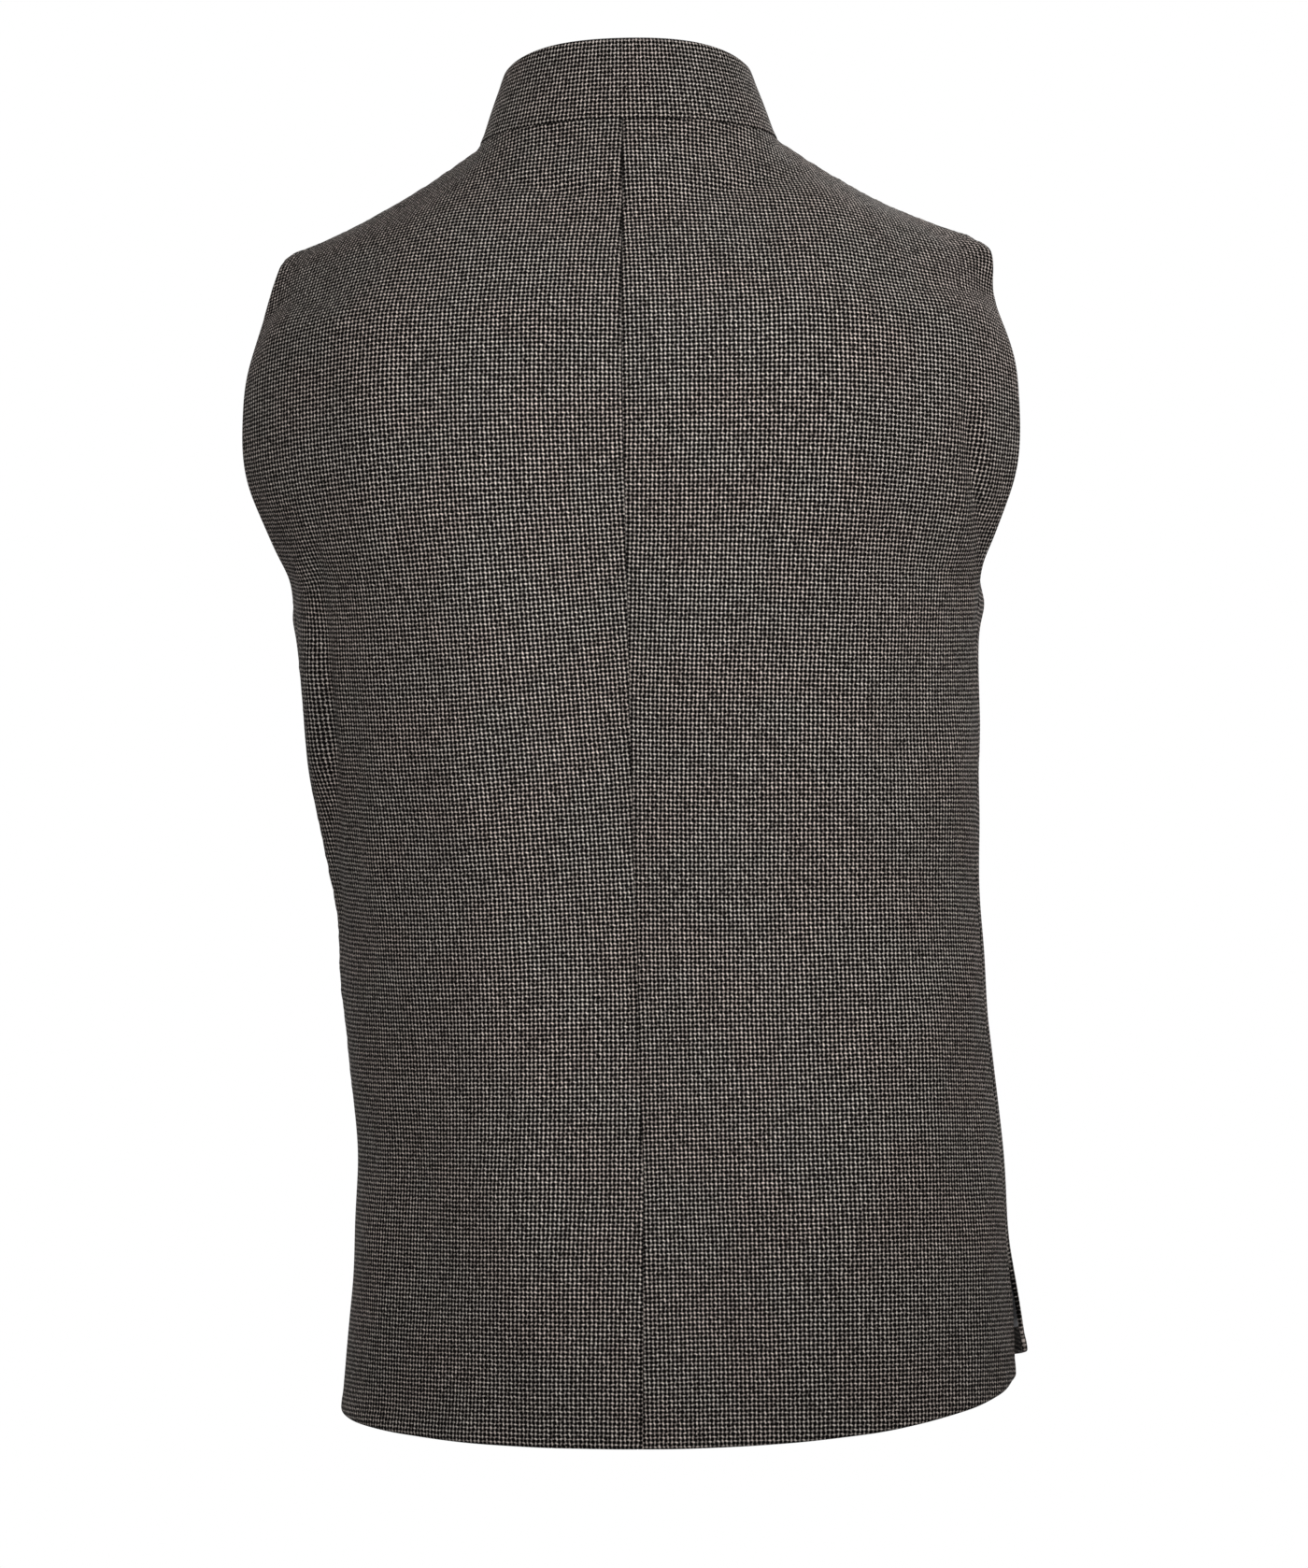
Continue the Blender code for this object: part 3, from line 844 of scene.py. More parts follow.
@dataclass(frozen=True)
class Folds:
    """The soft folds of the worn cloth and its slight unevenness.

    A fold's x and level are where its middle lies. Its tilt is from upright, clockwise as seen
    from behind, its height is below 0 for a trough, and its bow bends it sideways at its ends.
    """

    side_fade: float = 0.14
    top_fade: float = 70
    crease_fade: float = 14
    uneven_height: float = 0.22
    uneven_waves: int = 14
    uneven_lengths: Pair = (28, 80)
    uneven_upright: float = 0.55
    uneven_fade: float = 30
    uneven_at_top: float = 0.25
    uneven_seed: int = 11
    back: tuple[Fold, ...] = (
        Fold(4, -330, 230, 26, 0, -5.5),
        Fold(84, -350, 220, 32, 0, 8.0),
        Fold(-120, -330, 200, 34, 2, 4.0),
        Fold(132, -190, 75, 30, 6, 6.0),
        Fold(-110, -140, 60, 34, -10, 4.0),
        Fold(0, -45, 22, 66, 0, -3.5),
        Fold(56, -600, 100, 30, 0, 5.0),
        Fold(-30, -640, 90, 32, 12, -5.0),
        Fold(-112, -600, 120, 34, -3, 4.0),
        Fold(130, -600, 130, 24, 2, -4.0),
    )
    creases: tuple[Fold, ...] = (
        Fold(172, -325, 80, 4.5, 0, -6.0),
        Fold(161, -350, 130, 14, 0, -5.5),
        Fold(182, -325, 80, 5, 0, 3.5),
        Fold(-189, -192, 42, 5, 5, -5.0),
        Fold(40, -30, 30, 5, 80, -2.4),
        Fold(-62, -32, 36, 5.5, 102, -2.4),
        Fold(-176, -560, 120, 12, -3, -2.4),
    )
    front: tuple[Fold, ...] = (
        Fold(95, -190, 70, 50, 10, 3.5),
        Fold(-95, -190, 70, 50, -10, 3.5),
        Fold(88, -330, 110, 20, 6, -2.6),
        Fold(-96, -350, 130, 22, -5, -3.0),
        Fold(62, -540, 120, 24, 3, 2.6),
        Fold(-70, -560, 130, 24, -4, 2.8),
        Fold(120, -560, 110, 18, -3, -2.6),
        Fold(-128, -530, 100, 18, 4, -2.4),
    )

    @staticmethod
    def height(folds: tuple[Fold, ...], points: Array) -> Array:
        """How far some folds lift the cloth at each point.

        Args:
            folds: The folds.
            points: The points.

        Returns:
            The height at each point.
        """
        total = np.zeros(points.shape[:-1])
        for fold in folds:
            tilt = math.radians(fold.tilt)
            dx, dz = points[..., 0] - fold.x, points[..., 2] - fold.level
            along = (dz * math.cos(tilt) + dx * math.sin(tilt)) / fold.length
            across = dx * math.cos(tilt) - dz * math.sin(tilt) - fold.bow * along**2
            total += fold.height * np.exp(-(along**2) - (across / fold.width) ** 2)
        return total

    def uneven(self, points: Array) -> Array:
        """The cloth's slight unevenness, the same for panels that meet at a seam.

        Args:
            points: The points.

        Returns:
            The height at each point.
        """
        chance = np.random.default_rng(self.uneven_seed)
        total = np.zeros(points.shape[:-1])
        for _ in range(self.uneven_waves):
            way = chance.normal(size=3) * [1.0, 1.0, self.uneven_upright]
            wave = chance.uniform(*self.uneven_lengths)
            way *= 2 * math.pi / wave / np.linalg.norm(way)
            total += np.sin(points @ way + chance.uniform(0, 2 * math.pi)) * wave / UNEVEN_WAVE
        return total * self.uneven_height


@dataclass
class Tailor:
    """Cuts the four panels: small grids on the figure, then fine surfaces through them."""

    figure: Figure = field(default_factory=Figure)
    folds: Folds = field(default_factory=Folds)
    spacing: float = 3.0
    lap_offset: float = 1.6
    lap_full: float = 20
    lap_end: float = 52
    corner_fade: float = 45
    side_fade: float = 40
    roll_left: float = 0.6
    roll_right: float = 4.8
    roll_depth: float = 9
    roll_end: float = 26
    roll_fade: float = 40
    tip_drop: float = 2.2
    tip_reach: float = 8

    def small_grids(self) -> Grids:
        """The small grid of every panel.

        Returns:
            The grids by face and side.
        """
        return {
            (face, side): self.figure.panel_points(face, side) for face in Face for side in Side
        }

    @staticmethod
    def shared_normals(grids: Grids) -> Grids:
        """Normals of the small grids, with one normal for points that meet at a seam.

        Args:
            grids: The small grids.

        Returns:
            The normals, in grids of the same shapes.
        """
        normals = {
            key: normals_of(grid, -key[0].value * key[1].value) for key, grid in grids.items()
        }
        sums: dict[tuple[float, ...], Array] = {}
        keys = {
            name: [tuple(np.round(place, 2) + 0.0) for place in grid.reshape(-1, 3)]
            for name, grid in grids.items()
        }
        for name, places in keys.items():
            for place, normal in zip(places, normals[name].reshape(-1, 3)):
                sums[place] = sums.get(place, 0) + normal
        for name, places in keys.items():
            total = np.array([sums[place] for place in places])
            total /= np.linalg.norm(total, axis=1, keepdims=True)
            normals[name] = total.reshape(grids[name].shape)
        return normals

    def fine(self, face: Face, side: Side, grid: Array, normals: Array) -> Surface:
        """The fine surface through a panel's small grid, before its folds.

        Args:
            face: The panel's face.
            side: The panel's side.
            grid: Its small grid.
            normals: The small grid's shared normals.

        Returns:
            The surface.
        """
        figure = self.figure
        centre = 0 if face is Face.BACK else figure.lap_columns
        underarm = figure.vent_rows + figure.skirt_rows
        yoke = figure.vent_rows + len(figure.levels())
        whole = np.concatenate([grid, normals, flatten(grid, side.value, centre, yoke)], axis=2)
        row_knots = figure.row_knots() - figure.hem_back
        rows = marks(row_knots[-1], self.spacing)
        steps = np.linalg.norm(np.diff(grid[:-2], axis=1), axis=2).mean(axis=0)
        knots = np.concatenate([[0.0], np.cumsum(steps)])
        columns = marks(knots[-1], self.spacing)
        up, up_to_corner = spline(row_knots, rows), cornered(row_knots, rows, underarm)
        across = spline(knots, columns)
        across_to_corner = cornered(knots, columns, centre + figure.neck_columns)
        near_top = ease((rows - rows[-1] + self.corner_fade) / self.corner_fade)[:, None, None]
        near_side = ease((columns - columns[-1] + self.side_fade) / self.side_fade)[:, None]
        body, top, edge = (
            np.einsum("ai,ijk,bj->abk", rising, whole, crossing)
            for rising, crossing in ((up, across), (up, across_to_corner), (up_to_corner, across))
        )
        whole = (body * (1 - near_top) + top * near_top) * (1 - near_side) + edge * near_side
        outward = whole[..., 3:6] / np.linalg.norm(whole[..., 3:6], axis=2, keepdims=True)
        flat = whole[..., 6:] * [-face.value * side.value, 1.0] + self.bolt_place(face, side)
        return Surface(whole[..., :3], outward, flat, -face.value * side.value)

    @staticmethod
    def bolt_place(face: Face, side: Side) -> Array:
        """Where a panel was cut from the bolt of cloth, so that no two show the same yarns.

        Args:
            face: The panel's face.
            side: The panel's side.

        Returns:
            The place across and up.
        """
        return {
            (Face.BACK, Side.LEFT): np.array([0.0, 0.0]),
            (Face.BACK, Side.RIGHT): np.array([301.1, 1.3]),
            (Face.FRONT, Side.LEFT): np.array([903.0, 2.1]),
            (Face.FRONT, Side.RIGHT): np.array([1503.9, 640.4]),
        }[face, side]

    def lift(self, face: Face, side: Side, surface: Surface) -> None:
        """Gives a surface its folds, its unevenness and its lap at the front.

        Args:
            face: The panel's face.
            side: The panel's side.
            surface: The surface, whose points are moved.
        """
        start, end, _, top = surface.from_edges()
        span = (start + end)[:, :1]
        folds = self.folds
        fade = ease(end / (span * folds.side_fade)) * ease(top / folds.top_fade)
        wide = folds.back if face is Face.BACK else folds.front
        height = folds.height(wide, surface.points) * fade
        if face is Face.BACK:
            fade = ease(end / folds.crease_fade) * ease(top / folds.crease_fade)
            height += folds.height(folds.creases, surface.points) * fade
        calm = (1 - folds.uneven_at_top) * (1 - ease(top / folds.uneven_fade))
        height += folds.uneven(surface.points) * (1 - calm)
        if face is Face.FRONT:
            centre = self.figure.overlap(side)
            distance = np.maximum(start - centre, 0)
            lap = ease((self.lap_end - distance) / (self.lap_end - self.lap_full))
            height += side.value * self.lap_offset * lap
        surface.points = surface.points + surface.outward * height[..., None]
        self.roll_shoulder(side, surface.points)

    def roll_shoulder(self, side: Side, points: Array) -> None:
        """Rolls the shoulder's end over, so that no sharp corner is left at the armhole.

        Args:
            side: The panel's side.
            points: The panel's points, which are moved.
        """
        tip, _, level = self.figure.shoulder_tip
        depth, beyond = level - points[..., 2], side.value * points[..., 0] - tip
        swell = np.sqrt(1 - (1 - np.clip(depth / self.roll_depth, 0, 1)) ** 2)
        swell = swell * (1 - ease((depth - self.roll_depth) / self.roll_end))
        swell = swell * ease((beyond + self.roll_fade) / self.roll_fade)
        points[..., 0] += side.value * swell * (
            self.roll_left if side is Side.LEFT else self.roll_right
        )
        near = ease((beyond + self.tip_reach) / self.tip_reach)
        points[..., 2] -= self.tip_drop * near * (1 - ease(depth / self.roll_depth))

    def cut(self) -> dict[tuple[Face, Side], Surface]:
        """All four panels, lifted into their folds.

        Returns:
            The surfaces by face and side.
        """
        grids = self.small_grids()
        normals = self.shared_normals(grids)
        surfaces = {}
        for (face, side), grid in grids.items():
            surface = self.fine(face, side, grid, normals[face, side])
            self.lift(face, side, surface)
            surfaces[face, side] = surface
        return surfaces


def shell(name: str, outer: Array, inner: Array, flat: Array, facing: int, finish: Material,
          shade: Array | None = None) -> Object:
    """A closed shell of cloth between an outer and an inner grid of points.

    Args:
        name: The piece's name.
        outer: The outer points.
        inner: The inner points.
        flat: Where each point lies on the flat cut.
        facing: 1 or -1, the turn that makes the outer faces point outwards.
        finish: The material.
        shade: How much painted shade each outer point gets along the seams and the collar's foot,
            from 0 to 1.

    Returns:
        The piece, at the origin.
    """
    rows, columns = outer.shape[:2]
    number = np.arange(rows * columns).reshape(rows, columns)
    a, b, c, d = number[:-1, :-1], number[:-1, 1:], number[1:, 1:], number[1:, :-1]
    front = np.stack([a, b, c, d], axis=-1).reshape(-1, 4)
    back = front[:, ::-1] + rows * columns
    ring = np.concatenate([number[0, :-1], number[:-1, -1], number[-1, :0:-1], number[:0:-1, 0]])
    after = np.roll(ring, -1)
    rim = np.stack([after, ring, ring + rows * columns, after + rows * columns], axis=-1)
    faces = np.concatenate([front, back, rim])
    if facing < 0:
        faces = faces[:, ::-1]
    points = np.concatenate([outer.reshape(-1, 3), inner.reshape(-1, 3)]) * MILLIMETRE
    places = np.concatenate([flat.reshape(-1, 2)] * 2) * MILLIMETRE
    mesh = bpy.data.meshes.new(name)
    mesh.from_pydata(points.tolist(), [], faces.tolist())
    layer = mesh.uv_layers.new(name="cut")
    layer.data.foreach_set("uv", places[faces.reshape(-1)].astype(np.float32).reshape(-1))
    # The seam_depth attribute carries the painted shade along the seams and the collar's foot; the
    # inner face gets none.
    if shade is not None:
        depth = mesh.attributes.new("seam_depth", "FLOAT", "POINT")
        whole = np.concatenate([shade.reshape(-1), np.zeros(rows * columns)])
        depth.data.foreach_set("value", whole.astype(np.float32))
    mesh.materials.append(finish)
    mesh.shade_smooth()
    mesh.update()
    return placed(name, mesh)


@dataclass(frozen=True)
class Edges:
    """How the cloth's edges are shaped: folded ones are round, and seamed ones dip."""

    cloth: float = 1.5
    wall: float = 2.4
    turned: float = 2.5
    turned_fade: float = 3
    bead: float = 0.35
    bead_rise: float = 2.5
    bead_from: float = 5
    bead_fade: float = 6
    seam_depth: float = 1.25
    seam_width: float = 1.15
    seam_round: float = 1.4
    pucker: float = 0.12
    pucker_waves: int = 4
    pucker_lengths: Pair = (7, 19)
    pucker_phase: float = 6.3
    pucker_reach: float = 6
    # How wide the painted shade along a seam is.
    shade_width: float = 0.95

    def folded(self, distance: Array) -> Array:
        """How far a folded edge's outer face curves in, at distances from the edge.

        Args:
            distance: The distances from the edge.

        Returns:
            How far in the outer face lies at each, below 0 on the bead.
        """
        fade = 1 - ease((distance - self.bead_from) / self.bead_fade)
        bead = self.bead * ease(distance / self.bead_rise) * fade
        return self.folded_under(distance) - bead

    def folded_under(self, distance: Array) -> Array:
        """How far a folded edge's inner face rises, at distances from the edge.

        Args:
            distance: The distances from the edge.

        Returns:
            How far out the inner face lies at each.
        """
        round_over = self.wall / 2
        near = np.clip(round_over - distance, 0, round_over)
        return round_over - np.sqrt(np.maximum(round_over**2 - near**2, 0))

    def seamed(self, distance: Array, along: Array, seed: int) -> Array:
        """How far the cloth dips into a seam, with slight puckers along it.

        Args:
            distance: The distances from the seam.
            along: The places along it.
            seed: The seed of its puckers.

        Returns:
            How far the cloth dips at each point.
        """
        chance = np.random.default_rng(seed)
        waves = np.zeros_like(along)
        for _ in range(self.pucker_waves):
            turns = 2 * math.pi / chance.uniform(*self.pucker_lengths)
            waves += np.sin(along * turns + chance.uniform(0, self.pucker_phase))
        dip = self.seam_depth * np.exp(-((distance / self.seam_width) ** self.seam_round))
        return dip + self.pucker * waves * np.exp(-((distance / self.pucker_reach) ** 2))

    def shaded(self, distance: Array, share: Array | float) -> Array:
        """How much painted shade a seam gets at distances from it."""
        return share * np.exp(-((distance / self.shade_width) ** 2))


@dataclass
class Panel:
    """One panel of the jacket: its cloth shell and its lining."""

    face: Face
    side: Side
    surface: Surface
    figure: Figure
    edges: Edges = field(default_factory=Edges)
    lining_gap: float = 0.25
    lining_thickness: float = 0.55
    lining_spacing: float = 6.0
    hem_margin: float = 15
    edge_margin: float = 5
    front_margin: float = 15
    seam_margin: float = 0.3
    top_margin: float = 1.5
    sewn_fade: float = 8
    # Painted shade in the seams, and along the neckline under the collar, from 0 to 1.
    side_shade: float = 0.75
    shoulder_shade: float = 0.7
    centre_shade: float = 0.32
    neck_shade: float = 0.95
    neck_span: Pair = (-150, -50)
    shoulder_seed: int = 3
    side_seed: int = 5
    centre_seed: int = 7

    @property
    def node(self) -> str:
        """The name of the frame's node that this panel stands for."""
        return f"{self.face.name.lower()}_{self.side.name.lower()}"

    def sewn_at_side(self) -> Array:
        """1 where the outer edge is sewn into the side seam and 0 where it is free, by row.

        Returns:
            One number for each row.
        """
        level = self.surface.points[:, -1, 2]
        above_vent = ease((level - self.figure.vent_top) / self.sewn_fade)
        return above_vent * ease((self.figure.underarm_level + 1 - level) / self.sewn_fade)

    def depths(self) -> tuple[Array, Array]:
        """How far in from the surface the outer and the inner face of the cloth lie.

        Returns:
            The two depths at each point.
        """
        edges = self.edges
        start, end, bottom, top = self.surface.from_edges()
        sewn = self.sewn_at_side()[:, None]
        free = [(bottom, 1.0), (end, 1 - sewn)]
        seams = [(top, start, 1.0, self.shoulder_seed), (end, bottom, sewn, self.side_seed)]
        if self.face is Face.BACK:
            seams.append((start, bottom, 1.0, self.centre_seed))
        else:
            free.append((start, 1.0))
        drop, rise = np.zeros_like(start), np.zeros_like(start)
        thick = np.full_like(start, edges.cloth)
        for distance, share in free:
            drop += share * edges.folded(distance)
            rise += share * edges.folded_under(distance)
            turned = (1 - ease((distance - edges.turned) / edges.turned_fade)) * share
            thick = np.maximum(thick, edges.cloth + (edges.wall - edges.cloth) * turned)
        for distance, along, share, seed in seams:
            drop += share * edges.seamed(distance, along, seed)
        drop = np.minimum(drop, edges.wall / 2)
        rise = np.minimum(rise, edges.wall / 2)
        return drop, np.maximum(thick - rise, drop + LEAST_CLOTH)

    def shades(self) -> Array:
        """How much painted shade each point of the cloth gets along its seams and under the collar,
        from 0 to 1.

        Returns:
            One number for each point.
        """
        start, end, _, top = self.surface.from_edges()
        shade = self.edges.shaded(end, self.side_shade * self.sewn_at_side()[:, None])
        if self.face is Face.BACK:
            # The centre back seam's painted shade grows towards the neck, under the collar.
            low, high = self.neck_span
            near_neck = ease((self.surface.points[:, :1, 2] - low) / (high - low))
            centre = self.centre_shade + (self.neck_shade - self.centre_shade) * near_neck
            shade = np.maximum(shade, self.edges.shaded(start, centre))
        return np.maximum(shade, self.edges.shaded(top, self.shoulder_shade))

    def build_cloth(self, finish: Material) -> Object:
        """The cloth shell with its folded edges and dipping seams.

        Args:
            finish: The cloth's material.

        Returns:
            The piece.
        """
        surface = self.surface
        drop, depth = self.depths()
        normals = surface.normals()
        outer = surface.points - surface.outward * drop[..., None]
        inner = surface.points - normals * depth[..., None]
        return shell(f"cloth_{self.node}", outer, inner, surface.flat, surface.facing, finish,
                     self.shades())

    def build_lining(self, finish: Material) -> Object:
        """The lining, which ends inside the turned edges.

        Args:
            finish: The lining's material.

        Returns:
            The piece.
        """
        rows, columns = self.surface.points.shape[:2]
        sewn = self.sewn_at_side()
        start = np.full(rows, self.seam_margin if self.face is Face.BACK else self.front_margin)
        end = self.edge_margin + (self.seam_margin - self.edge_margin) * sewn
        bottom = np.full(columns, self.hem_margin)
        top = np.full(columns, self.top_margin)
        cut = self.surface.inset(start, end, bottom, top, self.lining_spacing)
        normals = cut.normals()
        depth = self.edges.cloth + self.lining_gap
        outer = cut.points - normals * depth
        inner = cut.points - normals * (depth + self.lining_thickness)
        return shell(f"lining_{self.node}", outer, inner, cut.flat, cut.facing, finish)

    def dress(self, wool: Material, satin: Material) -> None:
        """Builds the panel's pieces and ties them to the frame.

        Args:
            wool: The cloth's material.
            satin: The lining's material.
        """
        cloth, lining = self.build_cloth(wool), self.build_lining(satin)
        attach(cloth, BODY)
        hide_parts(self.node)
        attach(lining, BODY)


@dataclass
class Collar:
    """The band collar: one shell round the neck with round front corners."""

    figure: Figure
    back_height: float = 45
    side_height: float = 41
    front_height: float = 38
    back_lean: float = 12
    side_lean: float = 20
    corner: float = 20
    opening: float = 3
    wall: float = 3.0
    foot_gap: float = -1.4
    foot_proud: float = 0.6
    foot_reach: float = 7
    foot_wall: float = 1.7
    # Painted shade along the collar's foot, where it meets the panels.
    foot_shade: float = 0.5
    foot_shade_width: float = 0.4
    bead: float = 0.25
    swell: float = 0.5
    spacing: float = 2.6
    measured_at: float = 20
    area_share: float = 0.93

    def frame_at(self, face: Face, side: Side, angle: float) -> tuple[Array, float, Array]:
        """The collar's foot, height and rise at one place round the neck.

        Args:
            face: The panel's face.
            side: The panel's side.
            angle: 0 at the centre and half pi at the shoulder.

        Returns:
            The foot's point, the height, and the unit rise.
        """
        foot = self.figure.neck_point(face, side, angle)
        part = math.sin(angle)
        if face is Face.BACK:
            height = self.back_height + (self.side_height - self.back_height) * part**4
        else:
            height = self.side_height + (self.front_height - self.side_height) * math.cos(angle)
        lean = math.radians(self.back_lean + (self.side_lean - self.back_lean) * part**3)
        inward = -np.array([foot[0], foot[1], 0.0])
        inward /= np.linalg.norm(inward)
        return foot, height, inward * math.sin(lean) + np.array([0, 0, math.cos(lean)])

    def frames(self) -> Array:
        """Foot, height and rise in one row each, from the left front round to the right front.

        Returns:
            A row for each place: its foot's three numbers, its height and its rise's three.
        """
        count, crowd = self.figure.neck_columns, self.figure.front_crowd
        found: list[tuple[Array, float, Array]] = []
        for side in Side:
            half = [
                self.frame_at(Face.FRONT, side, (i / count) ** crowd * math.pi / 2)
                for i in range(count + 1)
            ]
            last = 0 if side is Side.RIGHT else -1
            for i in range(count - 1, last, -1):
                half.append(self.frame_at(Face.BACK, side, i / count * math.pi / 2))
            found += half if side is Side.LEFT else half[::-1]
        return np.array([[*foot, height, *rise] for foot, height, rise in found])

    def surface(self) -> Surface:
        """The collar's outer surface, rows from its foot up.

        Returns:
            The surface.
        """
        frames = self.frames()
        knots = lengths_along(frames[:, :3])
        first, last = self.opening / 2, knots[-1] - self.opening / 2
        columns = marks(last - first, self.spacing) + first
        frames = spline(knots, columns) @ frames
        feet, heights, rises = frames[:, :3], frames[:, 3], frames[:, 4:]
        from_end = np.minimum(np.minimum(columns, knots[-1] - columns), self.corner)
        cut = self.corner - np.sqrt(self.corner**2 - (self.corner - from_end) ** 2)
        shares = marks(self.back_height, self.spacing) / self.back_height
        up = self.foot_gap + shares[:, None] * (heights - cut - self.foot_gap)
        points = feet + rises * up[..., None]
        normals = normals_of(points, 1)
        bow = self.swell * np.sin(shares * math.pi)[:, None]
        points = points + normals * bow[..., None]
        middle = lengths_along(feet + rises * self.measured_at)
        across = middle - middle[-1] / 2
        flat = np.stack([np.broadcast_to(-across, up.shape), up], axis=2)
        return Surface(points, normals, flat, 1)

    def build(self, finish: Material) -> Object:
        """The collar's shell, with its round top edge and its foot proud of the panels.

        Args:
            finish: The collar's material.

        Returns:
            The collar.
        """
        surface = self.surface()
        start, end, foot, top = surface.from_edges()
        edges = Edges(wall=self.wall, bead=self.bead, shade_width=self.foot_shade_width)
        low = Edges(wall=self.foot_wall, bead=0.0)
        drop = sum(edges.folded(distance) for distance in (start, end, top))
        drop = np.minimum(drop, self.wall / 2) + low.folded(foot)
        drop -= self.foot_proud * (1 - ease(foot / self.foot_reach))
        rise = sum(edges.folded_under(distance) for distance in (start, end, top))
        rise = np.minimum(rise, self.wall / 2)
        normals = surface.normals()
        outer = surface.points - surface.outward * drop[..., None]
        depth = np.maximum(self.wall - rise, drop + LEAST_CLOTH)
        inner = surface.points - normals * depth[..., None]
        # The collar's foot gets painted shade where it meets the panels.
        return shell("collar_band", outer, inner, surface.flat, surface.facing, finish,
                     edges.shaded(foot, self.foot_shade))

    def dress(self, wool: Material) -> None:
        """Builds the collar and ties it to the frame.

        Args:
            wool: The collar's material.
        """
        collar = self.build(wool)
        flat = self.surface().flat
        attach(collar, BODY)
        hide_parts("collar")


class Nodes:
    """A short way to write a material's nodes, whose sockets then reach its shader."""

    def __init__(self, name: str) -> None:
        """Makes the material with its shader.

        Args:
            name: The material's name.
        """
        self.material = bpy.data.materials.new(name)
        self.material.use_nodes = True
        self.tree = self.material.node_tree
        self.shader = self.tree.nodes["Principled BSDF"]

    def add(self, kind: str, **settings: object) -> bpy.types.Node:
        """Adds a node with its settings.

        Args:
            kind: The node's type.
            **settings: Its properties.

        Returns:
            The node.
        """
        node = self.tree.nodes.new(kind)
        for name, value in settings.items():
            setattr(node, name, value)
        return node

    def feed(self, target: Socket, value: Socket | float | tuple[float, ...]) -> None:
        """Links a socket to an input, or sets the input to a number or a colour.

        Args:
            target: The input.
            value: A socket, a number or a colour.
        """
        if isinstance(value, bpy.types.NodeSocket):
            self.tree.links.new(value, target)
        else:
            target.default_value = value

    def on_cut(self) -> Socket:
        """The place on the flat cut, from the piece's UV map."""
        return self.add("ShaderNodeUVMap", uv_map="cut").outputs[0]

    def on_piece(self) -> Socket:
        """The place on the piece, in its own coordinates."""
        return self.add("ShaderNodeTexCoord").outputs["Object"]

    def math(self, operation: str, *values: Socket | float) -> Socket:
        """A Math node's result.

        Args:
            operation: The node's operation.
            *values: What its inputs are linked or set to.

        Returns:
            The result.
        """
        node = self.add("ShaderNodeMath", operation=operation)
        for socket, value in zip(node.inputs, values):
            self.feed(socket, value)
        return node.outputs[0]

    def span(self, value: Socket, low: float, high: float, first: float, last: float) -> Socket:
        """A smooth step from first to last as value goes from low to high.

        Args:
            value: The value.
            low: Where the step starts.
            high: Where it ends.
            first: The result up to low.
            last: The result from high on.

        Returns:
            The result.
        """
        node = self.add("ShaderNodeMapRange", interpolation_type="SMOOTHSTEP")
        self.feed(node.inputs["Value"], value)
        ends = {"From Min": low, "From Max": high, "To Min": first, "To Max": last}
        for name, number in ends.items():
            node.inputs[name].default_value = number
        return node.outputs[0]

    def mix(self, share: Socket | float, first: Socket | tuple, second: Socket | tuple,
            how: str = "MIX") -> Socket:
        """A mix of two colours.

        Args:
            share: 0 for the first and 1 for the second.
            first: A colour.
            second: A colour.
            how: The way they blend.

        Returns:
            The mixed colour.
        """
        node = self.add("ShaderNodeMix", data_type="RGBA", blend_type=how)
        self.feed(node.inputs[0], share)
        for place, colour in ((6, first), (7, second)):
            self.feed(node.inputs[place], (*colour, 1) if isinstance(colour, tuple) else colour)
        return node.outputs[2]

    def join(self, x: Socket | float, y: Socket | float, z: Socket | float = 0.0) -> Socket:
        """A vector of three numbers.

        Args:
            x: The first number.
            y: The second.
            z: The third.

        Returns:
            The vector.
        """
        node = self.add("ShaderNodeCombineXYZ")
        for socket, value in zip(node.inputs, (x, y, z)):
            self.feed(socket, value)
        return node.outputs[0]

    def split(self, vector: Socket) -> tuple[Socket, Socket, Socket]:
        """A vector's three numbers.

        Args:
            vector: The vector.

        Returns:
            The three numbers.
        """
        node = self.add("ShaderNodeSeparateXYZ")
        self.feed(node.inputs[0], vector)
        return tuple(node.outputs)

    def noise(self, vector: Socket, scale: float, detail: float = 1.0,
              colour: bool = False) -> Socket:
        """Smooth noise, as one number or as three.

        Args:
            vector: The place.
            scale: How fine the noise is.
            detail: How many finer layers it has.
            colour: Whether three numbers are wanted.

        Returns:
            The noise.
        """
        node = self.add("ShaderNodeTexNoise")
        self.feed(node.inputs["Vector"], vector)
        node.inputs["Scale"].default_value = scale
        node.inputs["Detail"].default_value = detail
        node.inputs["Roughness"].default_value = 0.5
        return node.outputs["Color" if colour else "Fac"]

    def chance(self, vector: Socket) -> Socket:
        """A random number for each whole vector.

        Args:
            vector: Two whole numbers as a vector.

        Returns:
            A number from 0 to 1.
        """
        node = self.add("ShaderNodeTexWhiteNoise", noise_dimensions="2D")
        self.feed(node.inputs["Vector"], vector)
        return node.outputs["Value"]

    def bump(self, height: Socket, depth: float) -> None:
        """Gives the shader a relief.

        Args:
            height: The height.
            depth: How deep a height of 1 is, in metres.
        """
        node = self.add("ShaderNodeBump")
        node.inputs["Strength"].default_value = 1.0
        node.inputs["Distance"].default_value = depth
        self.feed(node.inputs["Height"], height)
        self.feed(self.shader.inputs["Normal"], node.outputs[0])

    def uniform(self, **values: float | tuple[float, ...]) -> None:
        """Sets the shader's own inputs, with _ for each space in a name."""
        for name, value in values.items():
            self.shader.inputs[name.replace("_", " ")].default_value = value


